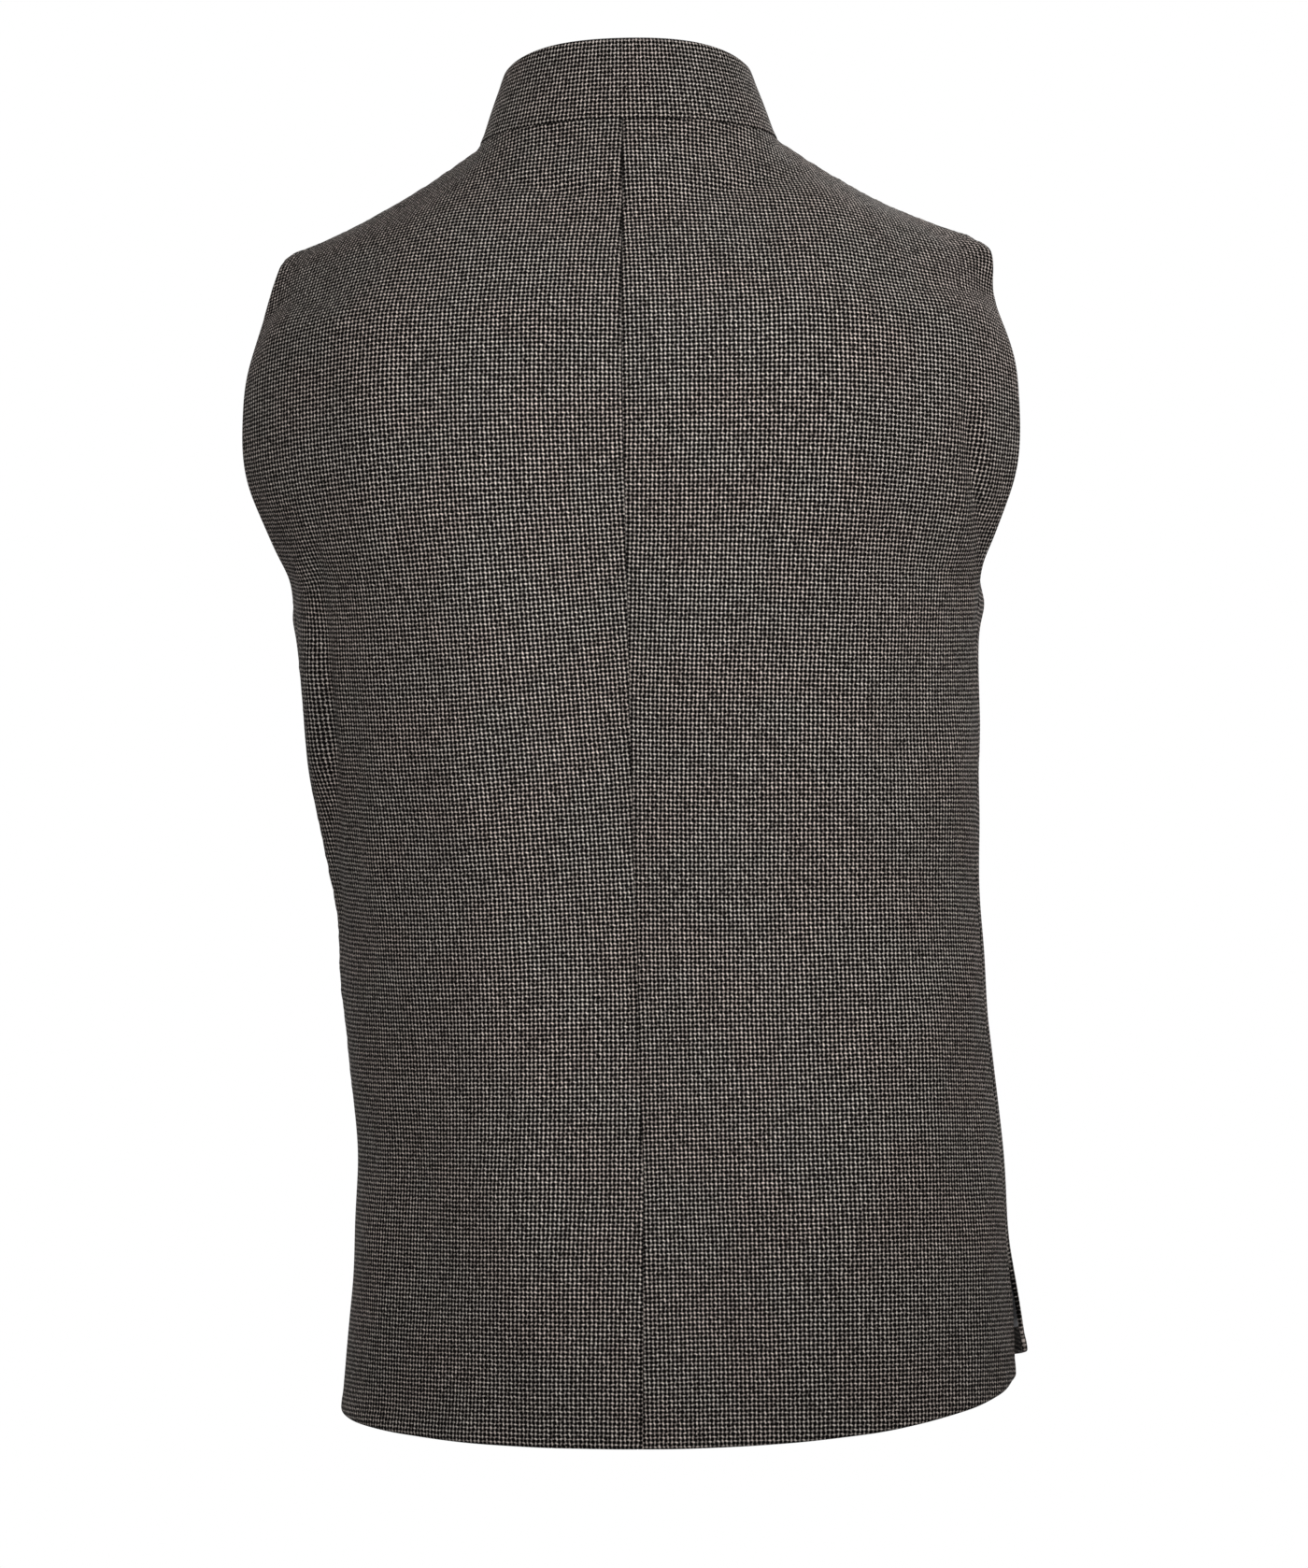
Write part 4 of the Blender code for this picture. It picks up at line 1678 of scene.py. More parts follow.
@dataclass(frozen=True)
class WovenWool:
    """A coarse open weave of pale and grey yarns over dark holes, with slubs and flecks.

    Pitches are in metres on the cut. Colours are linear. The weave's shade and highlights are
    painted.
    """

    name: str
    across: float = 0.00230
    up: float = 0.00245
    # The holes' colour is the black lining seen through the open weave, and painted shade in its
    # hollows.
    hole: Triple = (0.0016, 0.0014, 0.0013)
    dark_yarn: Triple = (0.2, 0.172, 0.156)
    pale_yarn: Triple = (1.0, 0.895, 0.832)
    brown: Triple = (1.022, 0.984, 0.972)
    green: Triple = (0.99, 1.0, 0.992)
    slow_noise: float = 24
    quick_noise: float = 300
    crimp: float = 0.2
    yarns_apart: float = 7.31
    weft_apart: float = 40
    slub_rate: float = 0.45
    slub_share: float = 0.5
    slub_swell: float = 0.19
    weft_evenness: float = 0.6
    crossing_share: float = 0.32
    fleck_share: float = 0.36
    fleck_noise: float = 1.3
    fleck_span: Pair = (0.36, 0.70)
    patch_noise: float = 21
    patch_span: Pair = (0.38, 0.62)
    tone_span: Pair = (0.0, 0.86)
    roughness: Pair = (0.96, 0.84)
    thread_core: float = 0.06
    thread_edge: float = 0.24
    # A painted highlight at each yarn's crossings, and how bright a yarn stays between two.
    crossing_highlight_span: Pair = (0.05, 0.5)
    warp_between: float = 0.41
    weft_between: float = 0.35
    over_span: Pair = (-0.08, 0.08)
    # How the yarns' painted shade fades from the holes' colour to full yarn colour as they rise.
    relief_shade_span: Pair = (0.15, 0.85)
    lean: float = 0.45
    fibre_noise: float = 3.4
    fibre_share: float = 1.4
    fibre_relief: float = 0.22
    wander: float = 0.0010
    quiver: float = 0.0008
    relief: float = 0.00045
    # How dark the painted seam shade gets.
    painted_seam_shade_share: float = 0.93

    def material(self) -> Material:
        """The cloth's material.

        Returns:
            The material, whose weave follows the piece's UV map.
        """
        n = Nodes(self.name)
        cut = n.on_cut()
        u, v, _ = n.split(cut)
        slow_x, slow_y, _ = n.split(n.noise(cut, self.slow_noise, colour=True))
        quick_x, quick_y, _ = n.split(n.noise(cut, self.quick_noise, colour=True))

        def yarns(place: Socket, slow: Socket, quick: Socket,
                  pitch: float) -> tuple[Socket, Socket]:
            """The place counted in yarns, and the number of the nearest one.

            Args:
                place: The place in metres.
                slow: Slow noise that bends the yarns.
                quick: Quick noise that makes them quiver.
                pitch: The distance between two yarns.

            Returns:
                The count and the whole number.
            """
            shift = n.math("MULTIPLY_ADD", n.math("SUBTRACT", slow, 0.5), self.wander, place)
            shift = n.math("MULTIPLY_ADD", n.math("SUBTRACT", quick, 0.5), self.quiver, shift)
            count = n.math("DIVIDE", shift, pitch)
            return count, n.math("ROUND", count)

        s, i = yarns(u, slow_x, quick_x, self.across)
        t, j = yarns(v, slow_y, quick_y, self.up)

        def slub(number: Socket, along: Socket, offset: float) -> Socket:
            """How thick and pale a yarn is at a place along it.

            Args:
                number: The yarn's number.
                along: How far along it, in yarns.
                offset: What keeps the warp's noise and the weft's apart.

            Returns:
                A number round a half.
            """
            apart = n.math("MULTIPLY", number, self.yarns_apart)
            where = n.join(apart, n.math("MULTIPLY", along, self.slub_rate), offset)
            return n.noise(where, 1.0, 2.0)

        warp_slub = slub(i, t, 0.0)
        weft_slub = n.math("MULTIPLY_ADD", slub(j, s, self.weft_apart), self.weft_evenness,
                           (1 - self.weft_evenness) / 2)
        crossing = n.chance(n.join(i, j))
        lean = n.math("MULTIPLY", n.math("SUBTRACT", crossing, 0.5), self.lean)

        def body(count: Socket, number: Socket, other: Socket, slub_here: Socket) -> Socket:
            """1 on a yarn and 0 beside it.

            Args:
                count: The place counted in yarns.
                number: The nearest yarn's number.
                other: How far off the crossing yarn is.
                slub_here: The yarn's slub here.

            Returns:
                How much of a yarn there is.
            """
            off = n.math("MULTIPLY_ADD", lean, other, n.math("SUBTRACT", count, number))
            off = n.math("MULTIPLY_ADD", n.math("SUBTRACT", 0.5, slub_here), self.slub_swell,
                         n.math("ABSOLUTE", off))
            return n.span(off, self.thread_core, self.thread_edge, 1.0, 0.0)

        def wave(along: Socket, number: Socket, sign: float) -> Socket:
            """How high a yarn rides as it goes over and under the others."""
            turn = n.math("COSINE", n.math("MULTIPLY", n.math("ADD", along, number), math.pi))
            return n.math("MULTIPLY_ADD", turn, self.crimp * sign, 1 - self.crimp)

        def crossing_highlight(count: Socket, number: Socket, between: float) -> Socket:
            """How bright a yarn is painted: a painted highlight of 1 at a crossing, less between
            two.
            """
            off = n.math("ABSOLUTE", n.math("SUBTRACT", count, number))
            return n.span(off, *self.crossing_highlight_span, 1.0, between)

        warp = n.math("MULTIPLY", body(s, i, n.math("SUBTRACT", t, j), warp_slub), wave(t, i, 1.0))
        weft = n.math("MULTIPLY", body(t, j, n.math("SUBTRACT", s, i), weft_slub), wave(s, j, -1.0))
        height = n.math("MAXIMUM", warp, weft)
        # The yarns' height with the crossing highlight: where it is low, the colour gets painted
        # shade.
        rise = n.math("MAXIMUM", n.math("MULTIPLY", warp, crossing_highlight(t, j, self.warp_between)),
                      n.math("MULTIPLY", weft, crossing_highlight(s, i, self.weft_between)))
        which = n.span(n.math("SUBTRACT", warp, weft), *self.over_span, 0.0, 1.0)
        slubs = n.math("ADD", n.math("MULTIPLY", warp_slub, which),
                       n.math("MULTIPLY", weft_slub, n.math("SUBTRACT", 1.0, which)))
        flecks = n.noise(n.join(s, t, 7.0), self.fleck_noise, 2.0)
        fleck = n.span(flecks, *self.fleck_span, 0.0, 1.0)
        tone = n.math("MULTIPLY", crossing, self.crossing_share)
        tone = n.math("MULTIPLY_ADD", slubs, self.slub_share, tone)
        tone = n.math("MULTIPLY_ADD", fleck, self.fleck_share, tone)
        fibres = n.noise(n.join(s, t), self.fibre_noise)
        tone = n.math("MULTIPLY_ADD", n.math("SUBTRACT", fibres, 0.5), self.fibre_share, tone)
        pale = n.span(tone, *self.tone_span, 0.0, 1.0)
        yarn = n.mix(pale, self.dark_yarn, self.pale_yarn)
        patch = n.span(n.noise(cut, self.patch_noise, 2.0), *self.patch_span, 0.0, 1.0)
        tint = n.mix(patch, self.brown, self.green)
        yarn = n.mix(1.0, yarn, tint, "MULTIPLY")
        # Painted shade: the colour falls to the holes' colour where the yarns dip, and is brightest
        # at the crossings.
        colour = n.mix(n.span(rise, *self.relief_shade_span, 0.0, 1.0), self.hole, yarn)
        # Painted shade along the seams and the collar's foot, from the seam_depth attribute,
        # darkens the colour towards the holes' colour.
        painted_seam_shade = n.add("ShaderNodeAttribute", attribute_name="seam_depth").outputs["Fac"]
        colour = n.mix(n.math("MULTIPLY", painted_seam_shade, self.painted_seam_shade_share), colour, self.hole)
        n.feed(n.shader.inputs["Base Color"], colour)
        n.feed(n.shader.inputs["Roughness"], n.span(tone, *self.tone_span, *self.roughness))
        n.bump(n.math("MULTIPLY_ADD", fibres, self.fibre_relief, height), self.relief)
        n.uniform(Specular_IOR_Level=0.06, Sheen_Weight=0.03, Sheen_Roughness=0.5,
                  Sheen_Tint=(0.92, 0.86, 0.82, 1))
        return n.material


@dataclass(frozen=True)
class Satin:
    """The lining's black satin, with a fine diagonal twill and a soft gleam."""

    name: str = "lining_satin"
    colour: Triple = (0.011, 0.011, 0.013)
    gleam: Triple = (0.020, 0.020, 0.024)
    line: float = 0.0007
    relief: float = 0.00004
    roughness: Pair = (0.42, 0.54)

    def material(self) -> Material:
        """The lining's material.

        Returns:
            The material, whose twill follows the piece's UV map.
        """
        n = Nodes(self.name)
        cut = n.on_cut()
        u, v, _ = n.split(cut)
        slant = n.math("DIVIDE", n.math("ADD", u, v), self.line)
        rib = n.math("SINE", n.math("MULTIPLY", slant, 2 * math.pi))
        soft = n.noise(cut, 30.0, 3.0)
        n.feed(n.shader.inputs["Base Color"], n.mix(soft, self.colour, self.gleam))
        n.feed(n.shader.inputs["Roughness"], n.span(soft, 0.3, 0.7, *self.roughness))
        n.bump(n.math("MULTIPLY_ADD", rib, 0.5, n.math("MULTIPLY", soft, 6.0)), self.relief)
        n.uniform(Specular_IOR_Level=0.22, Sheen_Weight=0.05, Sheen_Roughness=0.3)
        return n.material


@dataclass(frozen=True)
class Horn:
    """The buttons' dark polished horn, with its streaks."""

    name: str = "button_horn"
    dark: Triple = (0.010, 0.007, 0.005)
    light: Triple = (0.075, 0.048, 0.030)
    streaks: float = 260
    streak_span: Pair = (0.45, 0.75)
    grain: float = 900
    relief: float = 0.00003
    roughness: Pair = (0.26, 0.38)

    def material(self) -> Material:
        """The buttons' material.

        Returns:
            The material, whose streaks run upright.
        """
        n = Nodes(self.name)
        place = n.on_piece()
        x, y, z = n.split(place)
        stretched = n.join(n.math("MULTIPLY", x, 3.0), y, n.math("MULTIPLY", z, 0.6))
        streak = n.noise(stretched, self.streaks, 4.0)
        n.feed(n.shader.inputs["Base Color"],
               n.mix(n.span(streak, *self.streak_span, 0.0, 1.0), self.dark, self.light))
        n.feed(n.shader.inputs["Roughness"], n.span(streak, 0.3, 0.7, *self.roughness))
        n.bump(n.noise(place, self.grain, 3.0), self.relief)
        n.uniform(Specular_IOR_Level=0.5, Coat_Weight=0.15, Coat_Roughness=0.2)
        return n.material


@dataclass(frozen=True)
class Thread:
    """Sewing thread, with the fine twist of its plies."""

    name: str = "sewing_thread"
    colour: Triple = (0.030, 0.027, 0.026)
    lit: Triple = (0.085, 0.078, 0.074)
    twist: float = 2600
    relief: float = 0.00006

    def material(self) -> Material:
        """The thread's material.

        Returns:
            The material.
        """
        n = Nodes(self.name)
        place = n.on_piece()
        fuzz = n.noise(place, self.twist, 2.0)
        n.feed(n.shader.inputs["Base Color"], n.mix(fuzz, self.colour, self.lit))
        n.bump(fuzz, self.relief)
        n.uniform(Roughness=0.7, Specular_IOR_Level=0.3, Sheen_Weight=0.2)
        return n.material


class Stitching:
    """Geometry nodes that lay even stitches along a path, which is then made a plain mesh."""

    def __init__(self) -> None:
        """Builds the tree and its named inputs."""
        tree = bpy.data.node_groups.new("stitches_along_a_path", "GeometryNodeTree")
        face = tree.interface
        face.new_socket("Path", in_out="INPUT", socket_type="NodeSocketGeometry")
        for name in ("Spacing", "Length", "Thickness", "Lift", "Turn", "Unevenness"):
            face.new_socket(name, in_out="INPUT", socket_type="NodeSocketFloat")
        face.new_socket("Seed", in_out="INPUT", socket_type="NodeSocketInt")
        face.new_socket("Thread", in_out="INPUT", socket_type="NodeSocketMaterial")
        face.new_socket("Stitches", in_out="OUTPUT", socket_type="NodeSocketGeometry")
        self.tree = tree
        self.sockets = {item.name: item.identifier for item in face.items_tree}
        given, made = tree.nodes.new("NodeGroupInput"), tree.nodes.new("NodeGroupOutput")
        sizes = given.outputs

        def node(kind: str, feeds: dict, **settings: object) -> bpy.types.NodeOutputs:
            """Adds a node with its settings, and with its inputs linked or set.

            Args:
                kind: The node's type.
                feeds: What each input is linked or set to.
                **settings: Its properties.

            Returns:
                The node's outputs.
            """
            found = tree.nodes.new(kind)
            for name, value in settings.items():
                setattr(found, name, value)
            for name, value in feeds.items():
                if isinstance(value, bpy.types.NodeSocket):
                    tree.links.new(value, found.inputs[name])
                else:
                    found.inputs[name].default_value = value
            return found.outputs

        curve = node("GeometryNodeMeshToCurve", {"Mesh": sizes["Path"]})
        spaced = node("GeometryNodeResampleCurve",
                      {"Curve": curve[0], "Length": sizes["Spacing"]}, mode="LENGTH")
        up = node("GeometryNodeInputNamedAttribute", {"Name": "up"}, data_type="FLOAT_VECTOR")
        lift = node("ShaderNodeVectorMath", {0: up[0], "Scale": sizes["Lift"]}, operation="SCALE")
        places = node("GeometryNodeSetPosition", {"Geometry": spaced[0], "Offset": lift[0]})
        stand = node("FunctionNodeAlignRotationToVector", {"Vector": up[0]}, axis="Z")
        tangent = node("GeometryNodeInputTangent", {})
        point = node("FunctionNodeAlignRotationToVector",
                     {"Rotation": stand[0], "Vector": tangent[0]}, axis="X", pivot_axis="Z")
        wobble = tree.nodes.new("FunctionNodeRandomValue")
        wobble.data_type = "FLOAT"
        tree.links.new(sizes["Seed"], wobble.inputs["Seed"])
        limits = [socket for socket in wobble.inputs if socket.type == "VALUE" and socket.enabled]
        limits[0].default_value, limits[1].default_value = -1.0, 1.0
        chance = next(socket for socket in wobble.outputs if socket.enabled)
        uneven = node("ShaderNodeMath", {0: chance, 1: sizes["Unevenness"], 2: sizes["Turn"]},
                      operation="MULTIPLY_ADD")
        angle = node("ShaderNodeCombineXYZ", {"Z": uneven[0]})
        euler = node("FunctionNodeEulerToRotation", {0: angle[0]})
        turned = node("FunctionNodeRotateRotation",
                      {"Rotation": point[0], "Rotate By": euler[0]}, rotation_space="LOCAL")
        stitch = node("GeometryNodeMeshUVSphere", {"Segments": 8, "Rings": 6, "Radius": 0.5})
        smoothed = node("GeometryNodeSetShadeSmooth", {0: stitch["Mesh"]})
        size = node("ShaderNodeCombineXYZ",
                    {"X": sizes["Length"], "Y": sizes["Thickness"], "Z": sizes["Thickness"]})
        rows = node("GeometryNodeInstanceOnPoints", {
            "Points": places[0], "Instance": smoothed[0], "Rotation": turned[0], "Scale": size[0],
        })
        real = node("GeometryNodeRealizeInstances", {0: rows[0]})
        finish = node("GeometryNodeSetMaterial", {"Geometry": real[0], "Material": sizes["Thread"]})
        tree.links.new(finish[0], made.inputs[0])

    def row(self, name: str, paths: list[tuple[Array, Array]], thread: Material,
            spacing: float, length: float, thickness: float, lift: float = 0.0,
            turn: float = 0.0, unevenness: float = 0.08, seed: int = 1) -> Object:
        """Lays stitches along paths and makes them a plain mesh.

        Args:
            name: The piece's name.
            paths: Points and ways up, for each path.
            thread: The stitches' material.
            spacing: The distance between stitches.
            length: Each stitch's length.
            thickness: Each stitch's thickness.
            lift: How far the stitches stand off the path.
            turn: Their angle to the path, in degrees.
            unevenness: How far they turn by chance, in radians.
            seed: The seed for that.

        Returns:
            The piece, at the origin.
        """
        points, ways, edges = [], [], []
        for path, up in paths:
            first = len(points)
            points += (path * MILLIMETRE).tolist()
            ways += up.tolist()
            edges += [(first + k, first + k + 1) for k in range(len(path) - 1)]
        mesh = bpy.data.meshes.new(name)
        mesh.from_pydata(points, edges, [])
        ups = mesh.attributes.new("up", "FLOAT_VECTOR", "POINT")
        ups.data.foreach_set("vector", np.array(ways, np.float32).reshape(-1))
        guide = placed(f"{name}_path", mesh)
        modifier = guide.modifiers.new("stitches", "NODES")
        modifier.node_group = self.tree
        values = {
            "Spacing": spacing * MILLIMETRE, "Length": length * MILLIMETRE,
            "Thickness": thickness * MILLIMETRE, "Lift": lift * MILLIMETRE,
            "Turn": math.radians(turn), "Unevenness": unevenness, "Seed": seed, "Thread": thread,
        }
        for title, value in values.items():
            modifier[self.sockets[title]] = value
        return plain(name, guide)


def plain(name: str, source: Object) -> Object:
    """Makes an object with modifiers a plain mesh at the origin, and removes the object.

    Args:
        name: The new piece's name.
        source: The object with its modifiers.

    Returns:
        The piece.
    """
    graph = bpy.context.evaluated_depsgraph_get()
    graph.update()
    evaluated = source.evaluated_get(graph)
    mesh = bpy.data.meshes.new_from_object(evaluated, depsgraph=graph)
    mesh.transform(source.matrix_world)
    mesh.name = name
    bpy.data.objects.remove(source)
    return placed(name, mesh)


@dataclass
class Closure:
    """The front's six buttons, their threads and the buttonholes behind them."""

    front: Surface
    centre: float
    count: int = 6
    top_level: float = -92
    apart: float = 97
    diameter: float = 20
    thickness: float = 4
    clearance: float = 0.35
    dish: float = 1.5
    facets: int = 56
    hole_radius: float = 1.05
    hole_place: float = 2.1
    hole_facets: int = 20
    soft_edge: float = 0.16
    soft_angle: float = 50
    sharp_angle: float = 60
    strands: int = 4
    strand_facets: int = 8
    strand_steps: int = 11
    strand_radius: float = 0.21
    strand_gap: float = 0.36
    strand_rise: float = 0.62
    strand_sink: float = 0.35
    slit: float = 23
    slit_ahead: float = 2.5
    slit_half: float = 0.42
    slit_lift: float = 0.1
    slit_steps: int = 16
    eye_end: float = 1
    eye_half: float = 0.9
    purl_half: float = 1.2
    purl_before: float = 0.8
    purl_behind: float = 0.7
    purl_eye: Pair = (1.5, 1.9)
    purl_turn: Pair = (0.5, 2.2)
    purl_start: float = 2.5
    purl_steps: tuple[int, int] = (6, 24)

    @property
    def levels(self) -> list[float]:
        """The buttons' levels, from the top one down."""
        return [self.top_level - self.apart * number for number in range(self.count)]

    def place_at(self, across: float, level: float) -> tuple[Array, Array]:
        """A place on the left front and the way out from it.

        Args:
            across: The distance from the centre line towards the wearer's left.
            level: The level at the centre line.

        Returns:
            The point and its unit normal.
        """
        start = self.front.from_edges()[0]
        normals = self.front.normals()
        points = self.front.points
        column = int(np.argmin(np.abs(start[len(start) // 2] - self.centre)))
        levels = points[:, column, 2]
        row = float(np.interp(level, levels, np.arange(len(levels))))
        low, share = int(row), row - int(row)
        found = []
        for values in (points, normals):
            line = values[low] * (1 - share) + values[low + 1] * share
            places = start[low] - self.centre
            found.append(np.array([np.interp(across, places, line[:, k]) for k in range(3)]))
        return found[0], found[1] / np.linalg.norm(found[1])

    def button(self, name: str, finish: Material) -> Object:
        """One four-hole button that lies flat at the origin, with its raised rim.

        Args:
            name: The button's name.
            finish: Its material.

        Returns:
            The button.
        """
        radius, thick = self.diameter / 2, self.thickness
        profile = [
            (0.0, thick - self.dish), (0.44 * radius, thick - self.dish),
            (0.56 * radius, thick - 1.25), (0.66 * radius, thick - 0.55),
            (0.74 * radius, thick - 0.12), (0.82 * radius, thick),
            (0.90 * radius, thick - 0.12), (0.965 * radius, thick - 0.6),
            (radius, thick - 1.4), (0.985 * radius, thick - 2.2),
            (0.90 * radius, 0.6), (0.78 * radius, 0.15),
            (0.6 * radius, 0.0), (0.0, 0.0),
        ]
        shape = bmesh.new()
        turns = [2 * math.pi * k / self.facets for k in range(self.facets)]
        rows = []
        for r, z in profile:
            places = turns if r else turns[:1]
            rows.append([shape.verts.new((r * math.cos(a), r * math.sin(a), z)) for a in places])
        for low, high in zip(rows[1:], rows[:-1]):
            for k in range(self.facets):
                corners = [low[k % len(low)], low[(k + 1) % len(low)],
                           high[(k + 1) % len(high)], high[k % len(high)]]
                shape.faces.new(list(dict.fromkeys(corners)))
        bmesh.ops.recalc_face_normals(shape, faces=shape.faces)
        mesh = mesh_of(name, shape, finish)
        mesh.transform(Matrix.Scale(MILLIMETRE, 4))
        body = placed(f"{name}_blank", mesh)
        drills = bmesh.new()
        bore = self.hole_radius * MILLIMETRE
        for x, y in product((-self.hole_place, self.hole_place), repeat=2):
            bmesh.ops.create_cone(
                drills, cap_ends=True, segments=self.hole_facets, radius1=bore, radius2=bore,
                depth=3 * thick * MILLIMETRE,
                matrix=Matrix.Translation(Vector((x, y, thick / 2)) * MILLIMETRE),
            )
        drill = placed("drills", mesh_of("drills", drills))
        holes = body.modifiers.new("holes", "BOOLEAN")
        holes.object, holes.solver = drill, "EXACT"
        soft = body.modifiers.new("soft", "BEVEL")
        soft.width, soft.segments, soft.limit_method = self.soft_edge * MILLIMETRE, 2, "ANGLE"
        soft.angle_limit = math.radians(self.soft_angle)
        made = plain(name, body)
        bpy.data.objects.remove(drill)
        made.data.shade_smooth()
        made.data.set_sharp_from_angle(angle=math.radians(self.sharp_angle))
        return made

    def dress(self, horn: Material, thread: Material, satin: Material,
              stitching: Stitching) -> None:
        """Builds the buttons, their threads and the buttonholes, and ties them to the frame.

        Args:
            horn: The buttons' material.
            thread: The stitches' material.
            satin: The material of the slits, dark sheets of painted shade in the buttonholes' cuts.
            stitching: The nodes that lay the stitches.
        """
        blank = self.button("button_blank", horn)
        purls, places = [], []
        for number, level in enumerate(self.levels, 1):
            point, out = self.place_at(0.0, level)
            rise = Matrix.Translation(Vector((point + out * self.clearance) * MILLIMETRE))
            turn = Vector(out).to_track_quat("Z", "Y").to_matrix().to_4x4()
            mesh = blank.data.copy()
            mesh.transform(rise @ turn)
            button = placed(f"button_{number}_turned", mesh)
            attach(button, BODY)
            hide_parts(f"button_{number}")
            purls.append(self.slit_path(level))
            places.append(rise @ turn)
            LOG.info("%s at level %.0f mm", button.name, level)
        bpy.data.objects.remove(blank)
        holes = stitching.row(
            "buttonhole_stitches", purls, thread, spacing=0.62, length=2.1, thickness=0.55,
            lift=0.12, turn=90, unevenness=0.1, seed=5,
        )
        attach(holes, BODY)
        self.build_slit_shade(satin)
        self.build_crossings(places, thread)

    def slit_path(self, level: float) -> tuple[Array, Array]:
        """The line round one buttonhole, with the ways up from it.

        Args:
            level: The buttonhole's level.

        Returns:
            The line's points and ways up.
        """
        points, ways = [], []
        eye_length, eye_width = self.purl_eye
        round_eye, straight = self.purl_steps
        end = self.slit - self.slit_ahead
        outline = [(-self.slit_ahead - self.purl_before, 0.0)]
        for a in np.linspace(*self.purl_turn, round_eye):
            along = eye_length * (1 - math.cos(a)) - self.slit_ahead
            outline.append((along, eye_width * math.sin(a)))
        outline += [(x, self.purl_half) for x in np.linspace(self.purl_start, end, straight)]
        outline += [(end + self.purl_behind, 0.0)]
        outline = outline + [(x, -y) for x, y in outline[-2:0:-1]] + [outline[0]]
        for across, up in outline:
            point, out = self.place_at(across, level)
            points.append(point + np.array([0.0, 0.0, up]))
            ways.append(out)
        return np.array(points), np.array(ways)

    def build_slit_shade(self, satin: Material) -> None:
        """Dark sheets of lining satin: painted shade in the cut openings of the buttonholes.

        Args:
            satin: The slits' material.
        """
        # Each slit is a dark sheet that stands for the shade inside a buttonhole's cut.
        shape = bmesh.new()
        for level in self.levels:
            rows = []
            end = self.slit - self.slit_ahead
            for across in np.linspace(-self.slit_ahead, end, self.slit_steps):
                point, out = self.place_at(float(across), level)
                point = point + out * self.slit_lift
                wide = self.slit_half if across > self.eye_end else self.eye_half
                rows.append([
                    shape.verts.new((point + np.array([0, 0, side * wide])) * MILLIMETRE)
                    for side in (-1, 1)
                ])
            for (a, b), (c, d) in zip(rows[:-1], rows[1:]):
                shape.faces.new((a, c, d, b))
        mesh = mesh_of("buttonhole_slit_shade", shape, satin)
        mesh.uv_layers.new(name="cut")
        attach(placed("buttonhole_slit_shade", mesh), BODY)

    def build_crossings(self, places: list[Matrix], thread: Material) -> None:
        """The sewing thread over each button, as two bars between its holes, four strands each.

        Args:
            places: Where each button lies.
            thread: The thread's material.
        """
        shape = bmesh.new()
        level = self.thickness - self.dish
        count = self.strand_facets
        turns = np.arange(count) * 2 * math.pi / count
        sides, ups = (self.strand_radius * wave(turns) for wave in (np.cos, np.sin))
        for place, bar, strand in product(places, (-1, 1), range(self.strands)):
            aside = (strand - (self.strands - 1) / 2) * self.strand_gap
            offset = bar * self.hole_place + aside
            rings = []
            for step in np.linspace(-1, 1, self.strand_steps):
                x = step * (self.hole_place + 0.1)
                z = level + self.strand_rise * (1 - abs(step) ** 4) - self.strand_sink
                spots = zip(offset + sides, z + ups)
                rings.append([
                    shape.verts.new(place @ (Vector((x, y, up)) * MILLIMETRE)) for y, up in spots
                ])
            for low, high in zip(rings[:-1], rings[1:]):
                for k in range(count):
                    m = (k + 1) % count
                    shape.faces.new((low[k], low[m], high[m], high[k]))
            shape.faces.new(rings[0][::-1])
            shape.faces.new(rings[-1])
        bmesh.ops.recalc_face_normals(shape, faces=shape.faces)
        mesh = mesh_of("button_threads", shape, thread)
        mesh.shade_smooth()
        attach(placed("button_threads", mesh), BODY)


class Softbox(NamedTuple):
    """A soft light: its place and size in metres, its power in watts, and if it points down."""

    name: str
    place: Triple
    size: Pair
    power: float
    down: bool = False


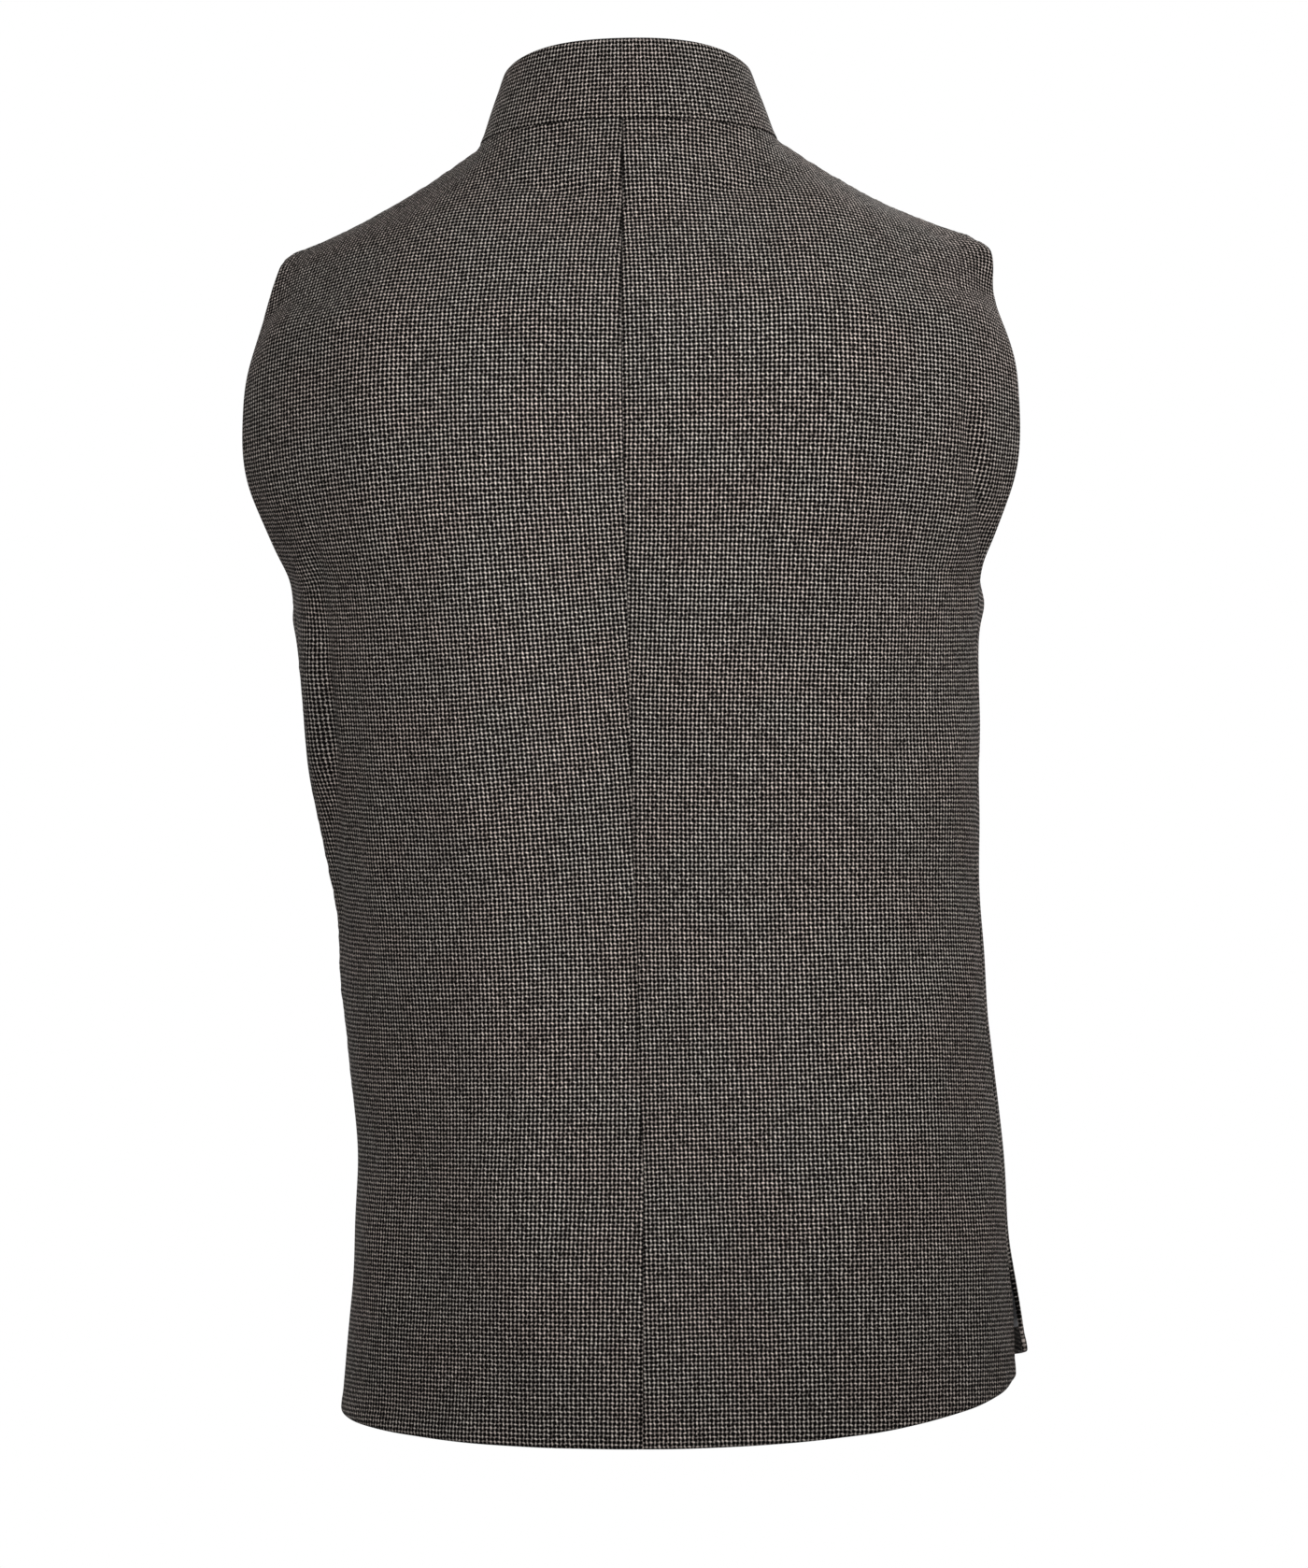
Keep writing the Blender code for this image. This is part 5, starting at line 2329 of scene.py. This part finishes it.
@dataclass(frozen=True)
class Studio:
    """The plain studio: a pale floor far below, soft lights and the camera behind the wearer."""

    floor_level: float = -1.45
    floor_radius: float = 2.5
    floor_tones: Pair = (0.86, 0.9)
    surround_fill: float = 0.09
    place: Triple = (-0.157, 2.996, -0.357)
    off_axis: float = 3.0
    roll: float = 1.1
    lens: float = 123.8
    sensor: float = 36
    shift: float = 14 / 1678
    aim_level: float = -0.25
    lights: tuple[Softbox, ...] = (
        Softbox("strip_light", (0.05, 0.62, -0.27), (0.15, 0.8), 1.75),
        Softbox("key_light", (-0.84, 0.62, 0.18), (0.3, 0.3), 4.3),
        Softbox("top_light", (0.0, 1.2, 1.3), (0.8, 0.8), 4.4),
        Softbox("shoulder_light", (1.0, 0.8, 1.3), (0.6, 0.6), 4.2),
        Softbox("front_key_light", (-0.8, -2.1, 0.9), (1.4, 1.4), 36.0),
        Softbox("front_fill_light", (1.2, -2.0, 0.1), (1.6, 1.6), 19.0),
        Softbox("floor_light", (0.0, 0.0, -0.9), (6.0, 6.0), 110.0, down=True),
    )

    def build_floor(self) -> None:
        """The floor, a wide pale disc."""
        shape = bmesh.new()
        bmesh.ops.create_circle(shape, cap_ends=True, segments=128, radius=self.floor_radius)
        n = Nodes("pale_floor")
        place = n.on_piece()
        shades = [(tone, tone, tone) for tone in self.floor_tones]
        n.feed(n.shader.inputs["Base Color"], n.mix(n.noise(place, 3.0, 3.0), *shades))
        n.uniform(Roughness=0.8, Specular_IOR_Level=0.2)
        mesh = mesh_of("studio_floor", shape, n.material)
        mesh.transform(Matrix.Translation((0, 0, self.floor_level)))
        floor = placed("studio_floor", mesh)
        floor.visible_diffuse = False

    def build_world(self) -> None:
        """An even white surround that also fills the shadows."""
        world = bpy.data.worlds.new("studio_surround")
        bpy.context.scene.world = world
        world.use_nodes = True
        tree = world.node_tree
        fill = tree.nodes["Background"]
        seen = tree.nodes.new("ShaderNodeBackground")
        for node, strength in ((fill, self.surround_fill), (seen, 1.0)):
            node.inputs["Color"].default_value = (1.0, 1.0, 1.0, 1)
            node.inputs["Strength"].default_value = strength
        path = tree.nodes.new("ShaderNodeLightPath")
        mix = tree.nodes.new("ShaderNodeMixShader")
        tree.links.new(path.outputs["Is Camera Ray"], mix.inputs[0])
        tree.links.new(fill.outputs[0], mix.inputs[1])
        tree.links.new(seen.outputs[0], mix.inputs[2])
        tree.links.new(mix.outputs[0], tree.nodes["World Output"].inputs["Surface"])

    def add_light(self, softbox: Softbox) -> None:
        """A rectangular soft light that points at the jacket's middle line, or straight down.

        Args:
            softbox: The light.
        """
        data = bpy.data.lights.new(softbox.name, "AREA")
        data.shape, data.energy = "RECTANGLE", softbox.power
        data.size, data.size_y = softbox.size
        light = placed(softbox.name, data)
        light.location = softbox.place
        aim = Vector((0, 0, self.aim_level)) - Vector(softbox.place)
        if softbox.down:
            aim = Vector((0, 0, -1))
        light.rotation_mode = "QUATERNION"
        light.rotation_quaternion = aim.to_track_quat("-Z", "Y")
        light.visible_camera = False

    def build_camera(self) -> None:
        """The camera, level with the jacket's middle and a little to one side of its back."""
        data = bpy.data.cameras.new("camera")
        data.lens, data.sensor_width = self.lens, self.sensor
        data.shift_x = self.shift
        camera = placed("camera", data)
        angle = math.radians(self.off_axis)
        look = Vector((math.sin(angle), -math.cos(angle), 0))
        upright = look.to_track_quat("-Z", "Y")
        roll = Matrix.Rotation(math.radians(-self.roll), 4, "Z").to_quaternion()
        camera.rotation_mode = "QUATERNION"
        camera.rotation_quaternion = upright @ roll
        camera.location = self.place
        bpy.context.scene.camera = camera

    def build(self) -> None:
        """Sets up the floor, the surround, the lights and the camera."""
        bpy.context.scene.view_settings.view_transform = "Standard"
        self.build_floor()
        self.build_world()
        for softbox in self.lights:
            self.add_light(softbox)
        self.build_camera()


def main() -> None:
    """Dresses the frame piece by piece, sets up the studio and notes the buttons' levels."""
    logging.basicConfig(level=logging.INFO, format="%(message)s")
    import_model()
    tailor = Tailor()
    surfaces = tailor.cut()
    wool = WovenWool("wool_cloth").material()
    collar_wool = WovenWool("collar_wool", across=0.00218, up=0.00238).material()
    satin, horn, thread = Satin().material(), Horn().material(), Thread().material()
    for (face, side), surface in surfaces.items():
        Panel(face, side, surface, tailor.figure).dress(wool, satin)
    Collar(tailor.figure).dress(collar_wool)
    front = surfaces[Face.FRONT, Side.LEFT]
    closure = Closure(front, tailor.figure.overlap(Side.LEFT))
    closure.dress(horn, thread, satin, Stitching())
    Studio().build()
    bpy.context.view_layer.update()


if __name__ == "__main__":
    main()
